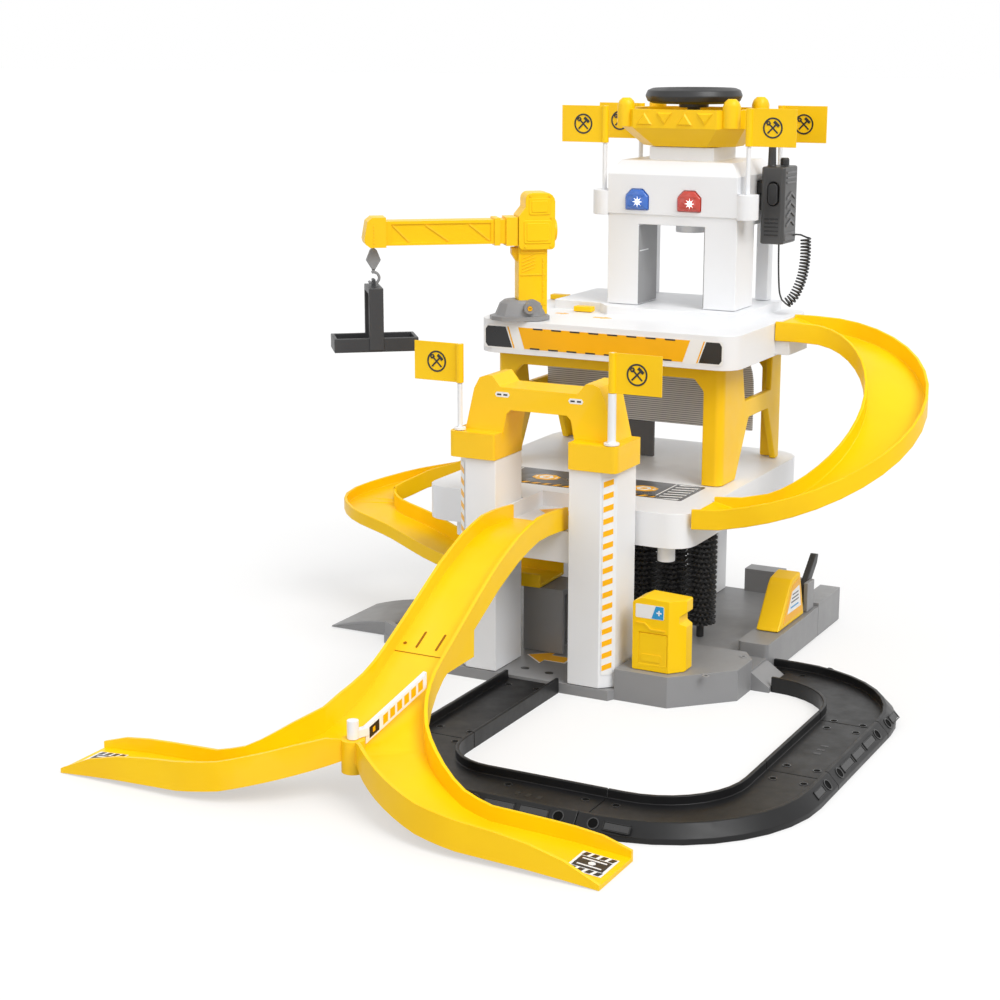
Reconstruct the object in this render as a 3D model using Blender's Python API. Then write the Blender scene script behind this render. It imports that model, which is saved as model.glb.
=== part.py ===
"""Toy parking garage: decks, gate, ramps, road track, crane, tower, car wash and fuel corner.

The frame is metres with +Z up. X runs to the right along the gate's front, Y runs to the back,
and the origin lies on the floor under the gate's centre line.
"""

import math

import bmesh
import bpy
import numpy as np
from mathutils import Vector

MM = 0.001
TOUCH = 0.3 * MM

# Materials as colour, roughness
YELLOW = ("yellow_plastic", (0.93, 0.58, 0.005), 0.38)
WHITE = ("white_plastic", (0.86, 0.86, 0.85), 0.4)
GREY = ("grey_plastic", (0.22, 0.22, 0.23), 0.5)
BLACK = ("black_plastic", (0.015, 0.015, 0.017), 0.4)
BLUE = ("blue_lens", (0.05, 0.2, 0.75), 0.15)
RED = ("red_lens", (0.75, 0.05, 0.03), 0.15)
RUBBER = ("black_rubber", (0.02, 0.02, 0.02), 0.7)

# Levels
FLOOR_TOP = 6 * MM
WASH_FLOOR_TOP = 12 * MM
PLATFORM_TOP = 18 * MM
LOWER_DECK_TOP = 102 * MM
UPPER_DECK_TOP = 195 * MM
SKIRT = 20 * MM
DECK_WALL = 2.4 * MM

# Base
BASE_LEFT = -118 * MM
BASE_RIGHT = 112 * MM
BASE_FRONT = -60 * MM
BASE_REAR = 166 * MM
BASE_CHAMFER = 14 * MM
PLATFORM_LEFT = 50 * MM
PLATFORM_FRONT = -56 * MM
PLATFORM_REAR = 8 * MM
PLATFORM_CHAMFER = 30 * MM
KERB = 5 * MM
KERB_TOP = 18 * MM
ISLAND_WIDTH = 18 * MM
ISLAND_FRONT = 19 * MM
ISLAND_REAR = 110 * MM
ISLAND_TOP = 20 * MM
LIP_LENGTH = 11 * MM
LIP_END = 3 * MM
LIP_FRONT = -5 * MM
LIP_REAR = 21 * MM
ISLAND_OUT = 1 * MM
WING_TOP = 22 * MM
CORNER_REAR = -26 * MM
CORNER_RIGHT = -80 * MM
CORNER_FRONT = -50 * MM
CORNER_KERB_TOP = 14 * MM

# Gate
GATE_HALF = 22.8 * MM
COLUMN_WIDTH = 26.2 * MM
COLUMN_DEPTH = 32.5 * MM
COLUMN_TOP = 130 * MM
COLUMN_CHAMFER = 7 * MM
COLUMN_WALL = 2.2 * MM
ARCH_OVERHANG = 3 * MM
ARCH_BOX = 15 * MM
ARCH_TOP = 170.6 * MM
ARCH_BUMP = 6 * MM
ARCH_INNER = 20 * MM
ARCH_FRONT = -52 * MM
ARCH_REAR = -28 * MM
ARCH_OPENING_TOP = 158 * MM
ARCH_WALL = 2.5 * MM

# Lower deck
LOWER_LEFT = -90 * MM
LOWER_RIGHT = 79 * MM
LOWER_REAR = 168 * MM
LOWER_FRONT = -25 * MM
LOWER_CORNER = 14 * MM
LEDGE_FRONT = -55 * MM
LEDGE_REAR = -5 * MM
LEDGE_TOP = 93 * MM
LEDGE_BOTTOM = 75 * MM
LEDGE_KERB = 2 * MM
PEG_RADIUS = 5 * MM
PEG_DROP = 10 * MM

# Building
BUILDING_LEFT = -79.5 * MM
BUILDING_RIGHT = 69.5 * MM
BUILDING_FRONT = 49 * MM
BUILDING_REAR = 151 * MM
PILLAR = 12.5 * MM
LINTEL = 9 * MM
BUILDING_WALL = 4 * MM
CROSSBAR = 11 * MM
WINDOW_SILL = 137 * MM
BUILDING_CORNER = 5 * MM
WINDOW_SPAN_LOW = (86 * MM, 130 * MM)
WINDOW_SPAN_HIGH = (82 * MM, 131 * MM)
PORTAL_SPAN_LOW = (72 * MM, 142 * MM)
PORTAL_SPAN_HIGH = (93 * MM, 125.5 * MM)
DOOR_REAR = 112 * MM
DOOR_BOTTOM = 125 * MM
DOOR_BEND = 22 * MM
DOOR_THICKNESS = 1.6 * MM

# Upper deck
UPPER_LEFT = -83.5 * MM
UPPER_RIGHT = 83.5 * MM
UPPER_FRONT = 30 * MM
UPPER_REAR = 157 * MM
UPPER_CORNER = 12 * MM
PLINTH_HEIGHT = 5.5 * MM
PLINTH_FRONT = 80 * MM

# Tower
TOWER_X = 17.2 * MM
TOWER_FRONT = 90 * MM
TOWER_DEPTH = 64 * MM
TOWER_WIDTH = 84 * MM
TOWER_LEG = 20.5 * MM
TOWER_LEG_DEPTH = 30 * MM
REAR_LEG = 8 * MM
DOOR_TOP = 250 * MM
HEAD_LOW = 256 * MM
HEAD_TOP = 280 * MM
HEAD_BEVEL = 6 * MM
SHOULDER_TOP = 288 * MM
NECK_WIDTH = 42 * MM
NECK_DEPTH = 36 * MM
NECK_TOP = 296 * MM
LENS_WIDTH = 14.6 * MM
LENS_HEIGHT = 12 * MM
LENS_Z = 259 * MM
LENS_SPREAD = 34 * MM
SOCKET_RADIUS = 6.8 * MM
SOCKET_HEIGHT = 15 * MM
SOCKET_Z = 255 * MM
SOCKET_OUT = 4.5 * MM
POLE_RADIUS = 1.4 * MM
TOWER_CENTRE_Y = TOWER_FRONT + TOWER_DEPTH / 2
FLAG_ROWS = (95 * MM, 149 * MM)
HANDSET_SLOT_Y = (123 * MM, 133 * MM)
HANDSET_SLOT_Z = (268 * MM, 276 * MM)

# Crown and wheel
CROWN_HALF_X = 40 * MM
CROWN_HALF_Y = 30 * MM
CROWN_CUT = 13 * MM
CROWN_TAPER = 10 * MM
CROWN_SHOULDER = 307.5 * MM
CROWN_TOP = 318.5 * MM
CROWN_FLOOR = 312 * MM
CROWN_WALL = 4 * MM
CROWN_POST = 6.5 * MM
POST_RADIUS = 5.4 * MM
POST_X = 34 * MM
POST_Y = 24 * MM
WHEEL_RADIUS = 29.5 * MM
WHEEL_RIM = 4.6 * MM
WHEEL_Z = 326 * MM
WHEEL_HUB = 9 * MM
WHEEL_SHAFT = 4 * MM

# Ramps
LANE_WALL = 1.8 * MM
LANE_FLOOR = 2 * MM
RAMP_WIDTH = 36 * MM
RAMP_SIDE_HEIGHT = 11.5 * MM
ROAD_EASE = 26 * MM
ROAD_STEP = 0.6 * MM
RIGHT_RAMP_RADIUS = 57 * MM
RIGHT_RAMP_X = 111.5 * MM
RIGHT_RAMP_Y = 55 * MM
RIGHT_RAMP_START = 196 * MM
RIGHT_RAMP_DROP = 91 * MM
TRUNK_REAR = -50 * MM
SPLIT_Y = -192 * MM
BRANCH_RADIUS = 78 * MM
BRANCH_TIP = 149.5 * MM
HUB_Y = -249 * MM
HUB_RADIUS = 6 * MM
HUB_BOTTOM = 15 * MM
HUB_TOP = 31.5 * MM
ARM_REACH = 45 * MM
ARM_THICKNESS = 2.4 * MM
ARM_HEIGHT = 8.2 * MM
ARM_LOW = 27.5 * MM
ARM_HIGH = 47.5 * MM
ARM_PIN = 2.9 * MM
ARM_PIN_HEIGHT = 9.5 * MM
SKIRT_REAR = -160 * MM
SKIRT_DEPTH = 14 * MM
SKIRT_FRONT = -188 * MM
RIB = 0.5 * MM
STAND_WIDTH = 28 * MM

# Front ramp heights as (distance or -Y, height) in millimetres
TRUNK_PROFILE = [(50, 93.8), (56, 93.9), (66, 95.3), (85, 95.2), (105, 91), (130, 81), (151, 69.5),
                 (172, 58.3), (192, 47.8)]
TRUNK_LEFT_WALL = [(50, 9.8), (192, 10.5)]
TRUNK_RIGHT_WALL = [(50, 12), (150, 13.5), (192, 10.5)]
BRANCH_PROFILE = [(0, 47.8), (24, 34.5), (51, 21.5), (72, 16), (88, 11.5), (103, 7), (122, 4),
                  (165, 2.5), (194, 0.2)]
BRANCH_REAR_WALL = [(0, 10.5), (38, 15.5), (67, 14.5), (95, 10.5), (122, 9.5), (160, 9.5), (186, 8.5),
                    (194, 5.5)]
BRANCH_NEAR_WALL = [(47, 7.4), (60, 14), (72, 15), (122, 15), (150, 13.5), (170, 10.5), (184, 7), (194, 2.5)]

# Track
TRACK_WIDTH = 34 * MM
TRACK_SLOPE = 5.5 * MM
TRACK_EDGE = 3 * MM
TRACK_RAIL = 9 * MM
TRACK_ROAD = 4.5 * MM
TRACK_RAIL_WIDTH = 2 * MM
TRACK_INNER_LEFT = 18 * MM
TRACK_INNER_FRONT = -197 * MM
TRACK_INNER_RIGHT = 165 * MM
TRACK_INNER_REAR = -3 * MM

# Crane, laid out along -X and then turned to its resting slew
CRANE_X = -58.8 * MM
CRANE_Y = 38.4 * MM
CRANE_SLEW = 38
TURRET_FRONT = 17.3 * MM
TURRET_HALF = 13.3 * MM
TURRET_FLANGE = 2.5 * MM
TURRET_HEIGHT = 12 * MM
MAST_SETBACK = 7.2 * MM
MAST_WIDTH = 17.5 * MM
MAST_DEPTH = 13 * MM
MAST_TOP = 237.5 * MM
HEAD_WIDTH = 22 * MM
HEAD_DEPTH = 18 * MM
CRANE_HEAD_TOP = 271 * MM
BOOM_LOW = 241.2 * MM
BOOM_HEIGHT = 14.2 * MM
BOOM_DEPTH = 13 * MM
BOOM_REACH = 89 * MM
CAP_REACH = 101 * MM
HOOK_REACH = 95 * MM
HOOK_PLATE_TOP = 239.9 * MM
HOOK_Z = 221.8 * MM
HOOK_RADIUS = 4.2 * MM
HOOK_THICKNESS = 1.6 * MM
TRAY_LENGTH = 50 * MM
TRAY_WIDTH = 24 * MM
TRAY_HEIGHT = 8.3 * MM
TRAY_BOTTOM = 179.2 * MM
CRADLE_TOP = 217 * MM
CRADLE_BAR = 8.6 * MM

# Flags
FLAG_LENGTH = 29 * MM
FLAG_HEIGHT = 22 * MM
FLAG_THICKNESS = 0.9 * MM
GATE_FLAG_X = 47 * MM
GATE_FLAG_Y = -56.7 * MM
TOWER_FLAG_TOP = 320 * MM

# Handset and its cord
HANDSET_LOW = (63.5 * MM, 117 * MM, 239 * MM)
HANDSET_SIZE = (15 * MM, 24 * MM, 46 * MM)
CORD_RADIUS = 0.55 * MM
CURL_RADIUS = 2.8 * MM
CURL_COUNT = 21

# The handset cord's lead out of the handset, the curls' centre line and the lead back, in millimetres
CORD_START = [(78.8, 134, 243.2), (81, 134.4, 244.6), (83.6, 134.8, 246.6), (85.6, 135, 246.4),
              (86.6, 135, 244.4)]
COIL_AXIS = [(86.8, 135, 242), (87, 134.8, 230), (85.6, 134, 218), (81.6, 132.6, 207), (77.2, 131, 202)]
CORD_END = [(74.6, 130, 203.2), (73.8, 129.6, 208), (72.8, 129, 222), (72, 128.6, 238.7)]

# Car wash brushes
BRUSH_RADIUS = 6 * MM
BRISTLE_LENGTH = 3.2 * MM
BRISTLES_ROUND = 10
BRISTLE_ROWS = 11
BRUSH_Y = 41 * MM
BRUSH_XS = (24 * MM, 43 * MM, 62 * MM)

# Route of the left ramp, each point at the middle of its road
LEFT_RAMP_ROUTE = [
    (LOWER_LEFT - 2 * MM, 90 * MM, 92 * MM),
    (-104 * MM, 90 * MM, 88 * MM),
    (-125 * MM, 93 * MM, 81 * MM),
    (-156.5 * MM, 85 * MM, 72 * MM),
    (-175.5 * MM, 60 * MM, 64 * MM),
    (-161.5 * MM, 37 * MM, 61 * MM),
    (-126.5 * MM, 24 * MM, 56 * MM),
    (-86.5 * MM, 8 * MM, 49 * MM),
    (-51.5 * MM, 0 * MM, 46 * MM),
    (-16.5 * MM, 0 * MM, 46 * MM),
]


def clear_scene():
    """Remove whatever the opened scene holds."""
    for item in list(bpy.data.objects):
        bpy.data.objects.remove(item)


def material_of(spec):
    """Return the Principled material that a colour record names."""
    name, colour, roughness = spec
    if name in bpy.data.materials:
        return bpy.data.materials[name]
    material = bpy.data.materials.new(name)
    material.use_nodes = True
    shader = material.node_tree.nodes["Principled BSDF"]
    shader.inputs["Base Color"].default_value = (*colour, 1)
    shader.inputs["Roughness"].default_value = roughness
    shader.inputs["Metallic"].default_value = 0
    return material


def to_object(mesh_data, name="raw"):
    """Turn a bmesh into a scene object with its faces pointing out."""
    bmesh.ops.recalc_face_normals(mesh_data, faces=mesh_data.faces)
    mesh = bpy.data.meshes.new(name)
    mesh_data.to_mesh(mesh)
    mesh_data.free()
    item = bpy.data.objects.new(name, mesh)
    bpy.context.scene.collection.objects.link(item)
    return item


def finish(item, name, spec, pivot=None):
    """Name a finished solid, give it its material and set its origin on its pivot."""
    item.name = name
    item.data.name = name
    item.data.materials.clear()
    item.data.materials.append(material_of(spec))
    if pivot is not None:
        place = Vector(pivot)
        for vertex in item.data.vertices:
            vertex.co -= place
        item.location = place
    item.data.shade_smooth()
    item.data.set_sharp_from_angle(angle=math.radians(32))
    return item


def loft(rings, closed=False):
    """Skin a list of rings of equal length into one closed solid."""
    shape = bmesh.new()
    levels = [[shape.verts.new(point) for point in ring] for ring in rings]
    count = len(rings[0])
    pairs = list(zip(levels, levels[1:]))
    if closed:
        pairs.append((levels[-1], levels[0]))
    for lower, upper in pairs:
        for index in range(count):
            following = (index + 1) % count
            shape.faces.new((lower[index], lower[following], upper[following], upper[index]))
    if not closed:
        shape.faces.new(levels[0])
        shape.faces.new(levels[-1])
    return to_object(shape)


def on_axis(point, value, axis):
    """Place a flat point at a value of one axis."""
    first, second = point
    if axis == "X":
        return (value, first, second)
    if axis == "Y":
        return (first, value, second)
    return (first, second, value)


def prism(outline, low, high, axis="Z"):
    """Extrude an outline between two values of one axis."""
    return loft([[on_axis(point, value, axis) for point in outline] for value in (low, high)])


def block(x, y, z):
    """Make a box from its three spans."""
    return prism([(x[0], y[0]), (x[1], y[0]), (x[1], y[1]), (x[0], y[1])], z[0], z[1])


def rounded(points, radius, steps=4):
    """Round the corners of an outline; radius is one size or one for each corner."""
    radii = radius if isinstance(radius, (list, tuple)) else [radius] * len(points)
    result = []
    for index, size in enumerate(radii):
        here = Vector(points[index])
        before = (Vector(points[index - 1]) - here).normalized()
        after = (Vector(points[(index + 1) % len(points)]) - here).normalized()
        if size <= 0:
            result.append(tuple(here))
            continue
        half = before.angle(after) / 2
        reach = size / math.tan(half)
        centre = here + (before + after).normalized() * size / math.sin(half)
        start = here + before * reach - centre
        turn = start.angle_signed(here + after * reach - centre)
        for step in range(steps + 1):
            angle = -turn * step / steps
            cosine, sine = math.cos(angle), math.sin(angle)
            result.append((centre.x + start.x * cosine - start.y * sine,
                           centre.y + start.x * sine + start.y * cosine))
    return result


def rectangle(x, y):
    """List a rectangle's corners anticlockwise."""
    return [(x[0], y[0]), (x[1], y[0]), (x[1], y[1]), (x[0], y[1])]


def circle(x, y, radius, sides=20):
    """List the points of a circle."""
    return [(x + radius * math.cos(math.tau * i / sides), y + radius * math.sin(math.tau * i / sides))
            for i in range(sides)]


def rod(x, y, radius, low, high, sides=20, axis="Z"):
    """Make a round bar along one axis."""
    return prism(circle(x, y, radius, sides), low, high, axis)


def turned(profile, x, y, sides=24):
    """Turn a profile of (radius, height) about a vertical line, closing both ends."""
    return loft([[(px, py, height) for px, py in circle(x, y, radius, sides)]
                 for radius, height in profile])


def combine(body, tool, operation):
    """Apply one exact Boolean step and drop the tool."""
    step = body.modifiers.new("step", "BOOLEAN")
    step.operation = operation
    step.solver = "EXACT"
    step.object = tool
    graph = bpy.context.evaluated_depsgraph_get()
    result = bpy.data.meshes.new_from_object(body.evaluated_get(graph))
    body.modifiers.clear()
    body.data = result
    bpy.data.objects.remove(tool)
    return body


def carve(body, *tools):
    """Cut each tool out of a body."""
    for tool in tools:
        combine(body, tool, "DIFFERENCE")
    return body


def fuse(body, *parts):
    """Join overlapping solids into one body."""
    for part in parts:
        combine(body, part, "UNION")
    return body


def smooth_step(value):
    """Ease from 0 to 1."""
    value = min(max(value, 0), 1)
    return value * value * (3 - 2 * value)


def make_base():
    """Grey ground floor with its raised platform, kerbs, pump island and exit lip."""
    outline = [
        (-58 * MM, BASE_FRONT),
        (PLATFORM_LEFT - 2 * MM, BASE_FRONT),
        (PLATFORM_LEFT, PLATFORM_FRONT),
        (BASE_RIGHT - PLATFORM_CHAMFER, PLATFORM_FRONT),
        (BASE_RIGHT, PLATFORM_FRONT + PLATFORM_CHAMFER),
        (BASE_RIGHT, BASE_REAR - BASE_CHAMFER),
        (BASE_RIGHT - BASE_CHAMFER, BASE_REAR),
        (BASE_LEFT + BASE_CHAMFER, BASE_REAR),
        (BASE_LEFT, BASE_REAR - BASE_CHAMFER),
        (BASE_LEFT, CORNER_REAR),
        (CORNER_RIGHT, CORNER_FRONT),
    ]
    base = prism(outline, 0, FLOOR_TOP)
    wash = [(PLATFORM_LEFT, PLATFORM_FRONT), (BASE_RIGHT - PLATFORM_CHAMFER, PLATFORM_FRONT),
            (BASE_RIGHT, PLATFORM_FRONT + PLATFORM_CHAMFER), (BASE_RIGHT, 150 * MM),
            (PLATFORM_LEFT - 36 * MM, 150 * MM), (PLATFORM_LEFT - 36 * MM, 24 * MM),
            (PLATFORM_LEFT, 20 * MM)]
    platform = [(PLATFORM_LEFT, PLATFORM_FRONT), (BASE_RIGHT - PLATFORM_CHAMFER, PLATFORM_FRONT),
                (BASE_RIGHT, PLATFORM_FRONT + PLATFORM_CHAMFER), (BASE_RIGHT, PLATFORM_REAR - 12 * MM),
                (BASE_RIGHT - 8 * MM, PLATFORM_REAR), (PLATFORM_LEFT, PLATFORM_REAR)]
    fuse(base, prism(wash, FLOOR_TOP / 2, WASH_FLOOR_TOP), prism(platform, FLOOR_TOP / 3, PLATFORM_TOP))
    island = rounded(rectangle((BASE_RIGHT - ISLAND_WIDTH, BASE_RIGHT + ISLAND_OUT),
                               (ISLAND_FRONT, ISLAND_REAR)), 3 * MM, 3)
    wing = rectangle((BASE_RIGHT - 12 * MM, BASE_RIGHT + ISLAND_OUT), (ISLAND_REAR - 2 * MM, 149 * MM))
    block_behind = block((PLATFORM_LEFT, 74 * MM), (146 * MM, 158 * MM), (2 * MM, 27 * MM))
    left_kerb = block((BASE_LEFT + 0.5 * MM, BASE_LEFT + KERB), (45 * MM, 150 * MM), (1 * MM, KERB_TOP))
    rear_kerb = block((-100 * MM, 12 * MM), (BASE_REAR - KERB, BASE_REAR - 0.5 * MM), (1 * MM, KERB_TOP))
    edge = Vector((CORNER_RIGHT - BASE_LEFT, CORNER_FRONT - CORNER_REAR)).normalized()
    inward = Vector((-edge.y, edge.x))
    first = Vector((BASE_LEFT, CORNER_REAR)) + (edge + inward) * 0.5 * MM
    last = Vector((CORNER_RIGHT, CORNER_FRONT)) + (inward - edge) * 0.5 * MM
    corner_kerb = [first, last, last + inward * KERB * 0.7, first + inward * KERB * 0.7]
    fuse(base, prism(island, 1 * MM, ISLAND_TOP), prism(wing, 1.5 * MM, WING_TOP),
         block_behind, left_kerb, rear_kerb, prism(corner_kerb, 1 * MM, CORNER_KERB_TOP))
    lip = [(BASE_RIGHT - 2 * MM, 0), (BASE_RIGHT + LIP_LENGTH, 0), (BASE_RIGHT + LIP_LENGTH, LIP_END),
           (BASE_RIGHT - 2 * MM, WASH_FLOOR_TOP)]
    fuse(base, prism(lip, LIP_FRONT, LIP_REAR, "Y"))
    return finish(base, "base", GREY)


def make_columns():
    """White gate columns, open at the back, with a chamfered outer front corner."""
    for name, side in (("column_left", -1), ("column_right", 1)):
        near = side * GATE_HALF
        far = side * (GATE_HALF + COLUMN_WIDTH)
        rear = BASE_FRONT + COLUMN_DEPTH
        outline = [(near, BASE_FRONT + TOUCH), (far - side * COLUMN_CHAMFER, BASE_FRONT + TOUCH),
                   (far, BASE_FRONT + COLUMN_CHAMFER + TOUCH), (far, rear), (near, rear)]
        column = prism(outline, FLOOR_TOP + TOUCH, COLUMN_TOP)
        low, high = sorted((near + side * COLUMN_WALL, far - side * (COLUMN_WALL + 2 * MM)))
        hollow = block((low, high), (BASE_FRONT + COLUMN_CHAMFER + COLUMN_WALL, rear + 1 * MM),
                       (FLOOR_TOP + 3 * MM, COLUMN_TOP - COLUMN_WALL))
        finish(carve(column, hollow), name, WHITE)


def make_piers():
    """White rear piers that carry the lower deck."""
    for name, left, low in (("pier_right", 19 * MM, WASH_FLOOR_TOP), ("pier_left", -78 * MM, FLOOR_TOP)):
        top = LOWER_DECK_TOP - SKIRT - TOUCH
        outline = rounded(rectangle((left, left + 18 * MM), (130 * MM, 148 * MM)), 2 * MM, 2)
        finish(prism(outline, low + TOUCH, top), name, WHITE)


def make_lower_deck():
    """White lower deck with a hollow underside and the gate ledge."""
    ledge = GATE_HALF - TOUCH
    outline = rounded(rectangle((LOWER_LEFT, LOWER_RIGHT), (LOWER_FRONT, LOWER_REAR)),
                      [LOWER_CORNER, LOWER_CORNER, LOWER_CORNER + 6 * MM, LOWER_CORNER + 6 * MM])
    deck = prism(outline, LOWER_DECK_TOP - SKIRT, LOWER_DECK_TOP)
    hollow_front = LEDGE_REAR + 6 * MM
    hollow = rounded(rectangle((LOWER_LEFT + DECK_WALL, LOWER_RIGHT - DECK_WALL),
                               (hollow_front, LOWER_REAR - DECK_WALL)), LOWER_CORNER, 3)
    carve(deck, prism(hollow, LOWER_DECK_TOP - SKIRT - 1 * MM, LOWER_DECK_TOP - 4 * MM))
    fuse(deck, block((-ledge, ledge), (LEDGE_FRONT, LEDGE_REAR + 4 * MM), (LEDGE_BOTTOM, LOWER_DECK_TOP)))
    carve(deck, block((LEDGE_KERB - ledge, ledge - LEDGE_KERB), (LEDGE_FRONT - 1 * MM, LEDGE_REAR),
                      (LEDGE_TOP, LOWER_DECK_TOP + 1 * MM)))
    for x in (-68 * MM, 62 * MM):
        peg = rod(x, LOWER_FRONT + 12 * MM, PEG_RADIUS, LOWER_DECK_TOP - SKIRT - PEG_DROP,
                  LOWER_DECK_TOP - SKIRT + 2 * MM)
        fuse(deck, peg)
    for x in BRUSH_XS:
        fuse(deck, rod(x, BRUSH_Y, 5 * MM, LOWER_DECK_TOP - SKIRT, LOWER_DECK_TOP - 2 * MM))
    for left in (19 * MM, -78 * MM):
        fuse(deck, block((left, left + 18 * MM), (130 * MM, 148 * MM),
                         (LOWER_DECK_TOP - SKIRT, LOWER_DECK_TOP - 2 * MM)))
    return finish(deck, "lower_deck", WHITE)


def make_gate_arch():
    """Yellow gate header: corner boxes on the columns and an arch between raised shoulders."""
    out = GATE_HALF + COLUMN_WIDTH + ARCH_OVERHANG
    box_top = COLUMN_TOP + ARCH_BOX
    bump = ARCH_TOP + ARCH_BUMP
    low = COLUMN_TOP + TOUCH
    right = [(GATE_HALF - TOUCH, low), (46 * MM, low), (46 * MM, box_top), (40.5 * MM, bump - 8 * MM),
             (37 * MM, bump - 1.5 * MM), (33 * MM, bump), (29 * MM, bump), (24 * MM, ARCH_TOP)]
    inner = [(ARCH_INNER - 2.5 * MM, ARCH_OPENING_TOP), (ARCH_INNER, ARCH_OPENING_TOP - 2.5 * MM),
             (GATE_HALF - TOUCH, box_top - 2 * MM)]
    outline = right + [(-x, z) for x, z in reversed(right)]
    outline = outline + [(-x, z) for x, z in reversed(inner)] + inner
    arch = prism(outline, ARCH_FRONT, ARCH_REAR, "Y")
    front = BASE_FRONT - 1.5 * MM
    wall = ARCH_WALL
    for side in (-1, 1):
        span = sorted((side * (GATE_HALF - TOUCH), side * out))
        radii = [3.5 * MM if x == side * out else 1.5 * MM for x in span]
        radii = radii + [1.5 * MM, 1.5 * MM]
        box_outline = rounded(rectangle(span, (front, ARCH_REAR + 0.01 * MM)), radii, 2)
        fuse(arch, prism(box_outline, low + 0.01 * MM, box_top))
    hollows = [block((-31 * MM, 31 * MM), (ARCH_FRONT + wall, ARCH_REAR + 1 * MM),
                     (ARCH_OPENING_TOP + wall, ARCH_TOP - wall))]
    for side in (-1, 1):
        corners = [(27 * MM, low + wall), (43.5 * MM, low + wall), (43.5 * MM, box_top - wall),
                   (38 * MM, bump - 9 * MM), (30 * MM, bump - 5 * MM), (27 * MM, bump - 12 * MM)]
        hollows.append(prism([(side * x, z) for x, z in corners], ARCH_FRONT + wall, ARCH_REAR + 1 * MM, "Y"))
    carve(arch, *hollows)
    return finish(arch, "gate_arch", YELLOW)


def make_building():
    """Yellow storey frame between the decks, with a wide front opening and open sides."""
    low = LOWER_DECK_TOP + TOUCH
    high = UPPER_DECK_TOP - SKIRT - TOUCH
    plan = rounded(rectangle((BUILDING_LEFT, BUILDING_RIGHT), (BUILDING_FRONT, BUILDING_REAR)),
                   BUILDING_CORNER, 4)
    frame = prism(plan, low, high)
    inside = block((BUILDING_LEFT + BUILDING_WALL, BUILDING_RIGHT - BUILDING_WALL),
                   (BUILDING_FRONT + BUILDING_WALL, BUILDING_REAR - BUILDING_WALL),
                   (low - 1 * MM, high + 1 * MM))
    left = BUILDING_LEFT + PILLAR
    right = BUILDING_RIGHT - PILLAR
    top = high - LINTEL
    opening = [(left, low - 1 * MM), (right, low - 1 * MM), (right, top - 7 * MM), (right - 6 * MM, top),
               (left + 5 * MM, top), (left, top - 5 * MM)]
    front_cut = prism(opening, BUILDING_FRONT - 1 * MM, BUILDING_FRONT + BUILDING_WALL + 1 * MM, "Y")
    rear_cut = prism(opening, BUILDING_REAR - BUILDING_WALL - 1 * MM, BUILDING_REAR + 1 * MM, "Y")
    sill = WINDOW_SILL + CROSSBAR
    window = [(WINDOW_SPAN_LOW[0], sill), (WINDOW_SPAN_LOW[1], sill),
              (WINDOW_SPAN_HIGH[1], high - 6 * MM), (WINDOW_SPAN_HIGH[0], high - 6 * MM)]
    portal = [(PORTAL_SPAN_LOW[0], low - 1 * MM), (PORTAL_SPAN_LOW[1], low - 1 * MM),
              (PORTAL_SPAN_HIGH[1], WINDOW_SILL), (PORTAL_SPAN_HIGH[0], WINDOW_SILL)]
    span = (BUILDING_LEFT - 1 * MM, BUILDING_RIGHT + 1 * MM)
    carve(frame, inside, front_cut, rear_cut, prism(window, *span, "X"), prism(portal, *span, "X"))
    return finish(frame, "building_frame", YELLOW)


def make_door_panel():
    """White ribbed roller door, curved from the ceiling down to the back of the storey."""
    top = UPPER_DECK_TOP - SKIRT - 2 * MM
    radius = DOOR_BEND
    rear = DOOR_REAR
    thickness = DOOR_THICKNESS
    ring = []
    steps = 6
    for shell in (radius, radius - thickness):
        arc = [(rear - radius + shell * math.sin(math.pi / 2 * i / steps),
                top - radius + shell * math.cos(math.pi / 2 * i / steps)) for i in range(steps + 1)]
        run = [(rear - 52 * MM, top - radius + shell)] + arc + [(rear - radius + shell, DOOR_BOTTOM)]
        ring.append(run)
    outline = ring[0] + list(reversed(ring[1]))
    width = (BUILDING_LEFT + BUILDING_WALL + TOUCH, BUILDING_RIGHT - BUILDING_WALL - TOUCH)
    panel = prism(outline, width[0], width[1], "X")
    return finish(panel, "door_panel", WHITE)


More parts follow.
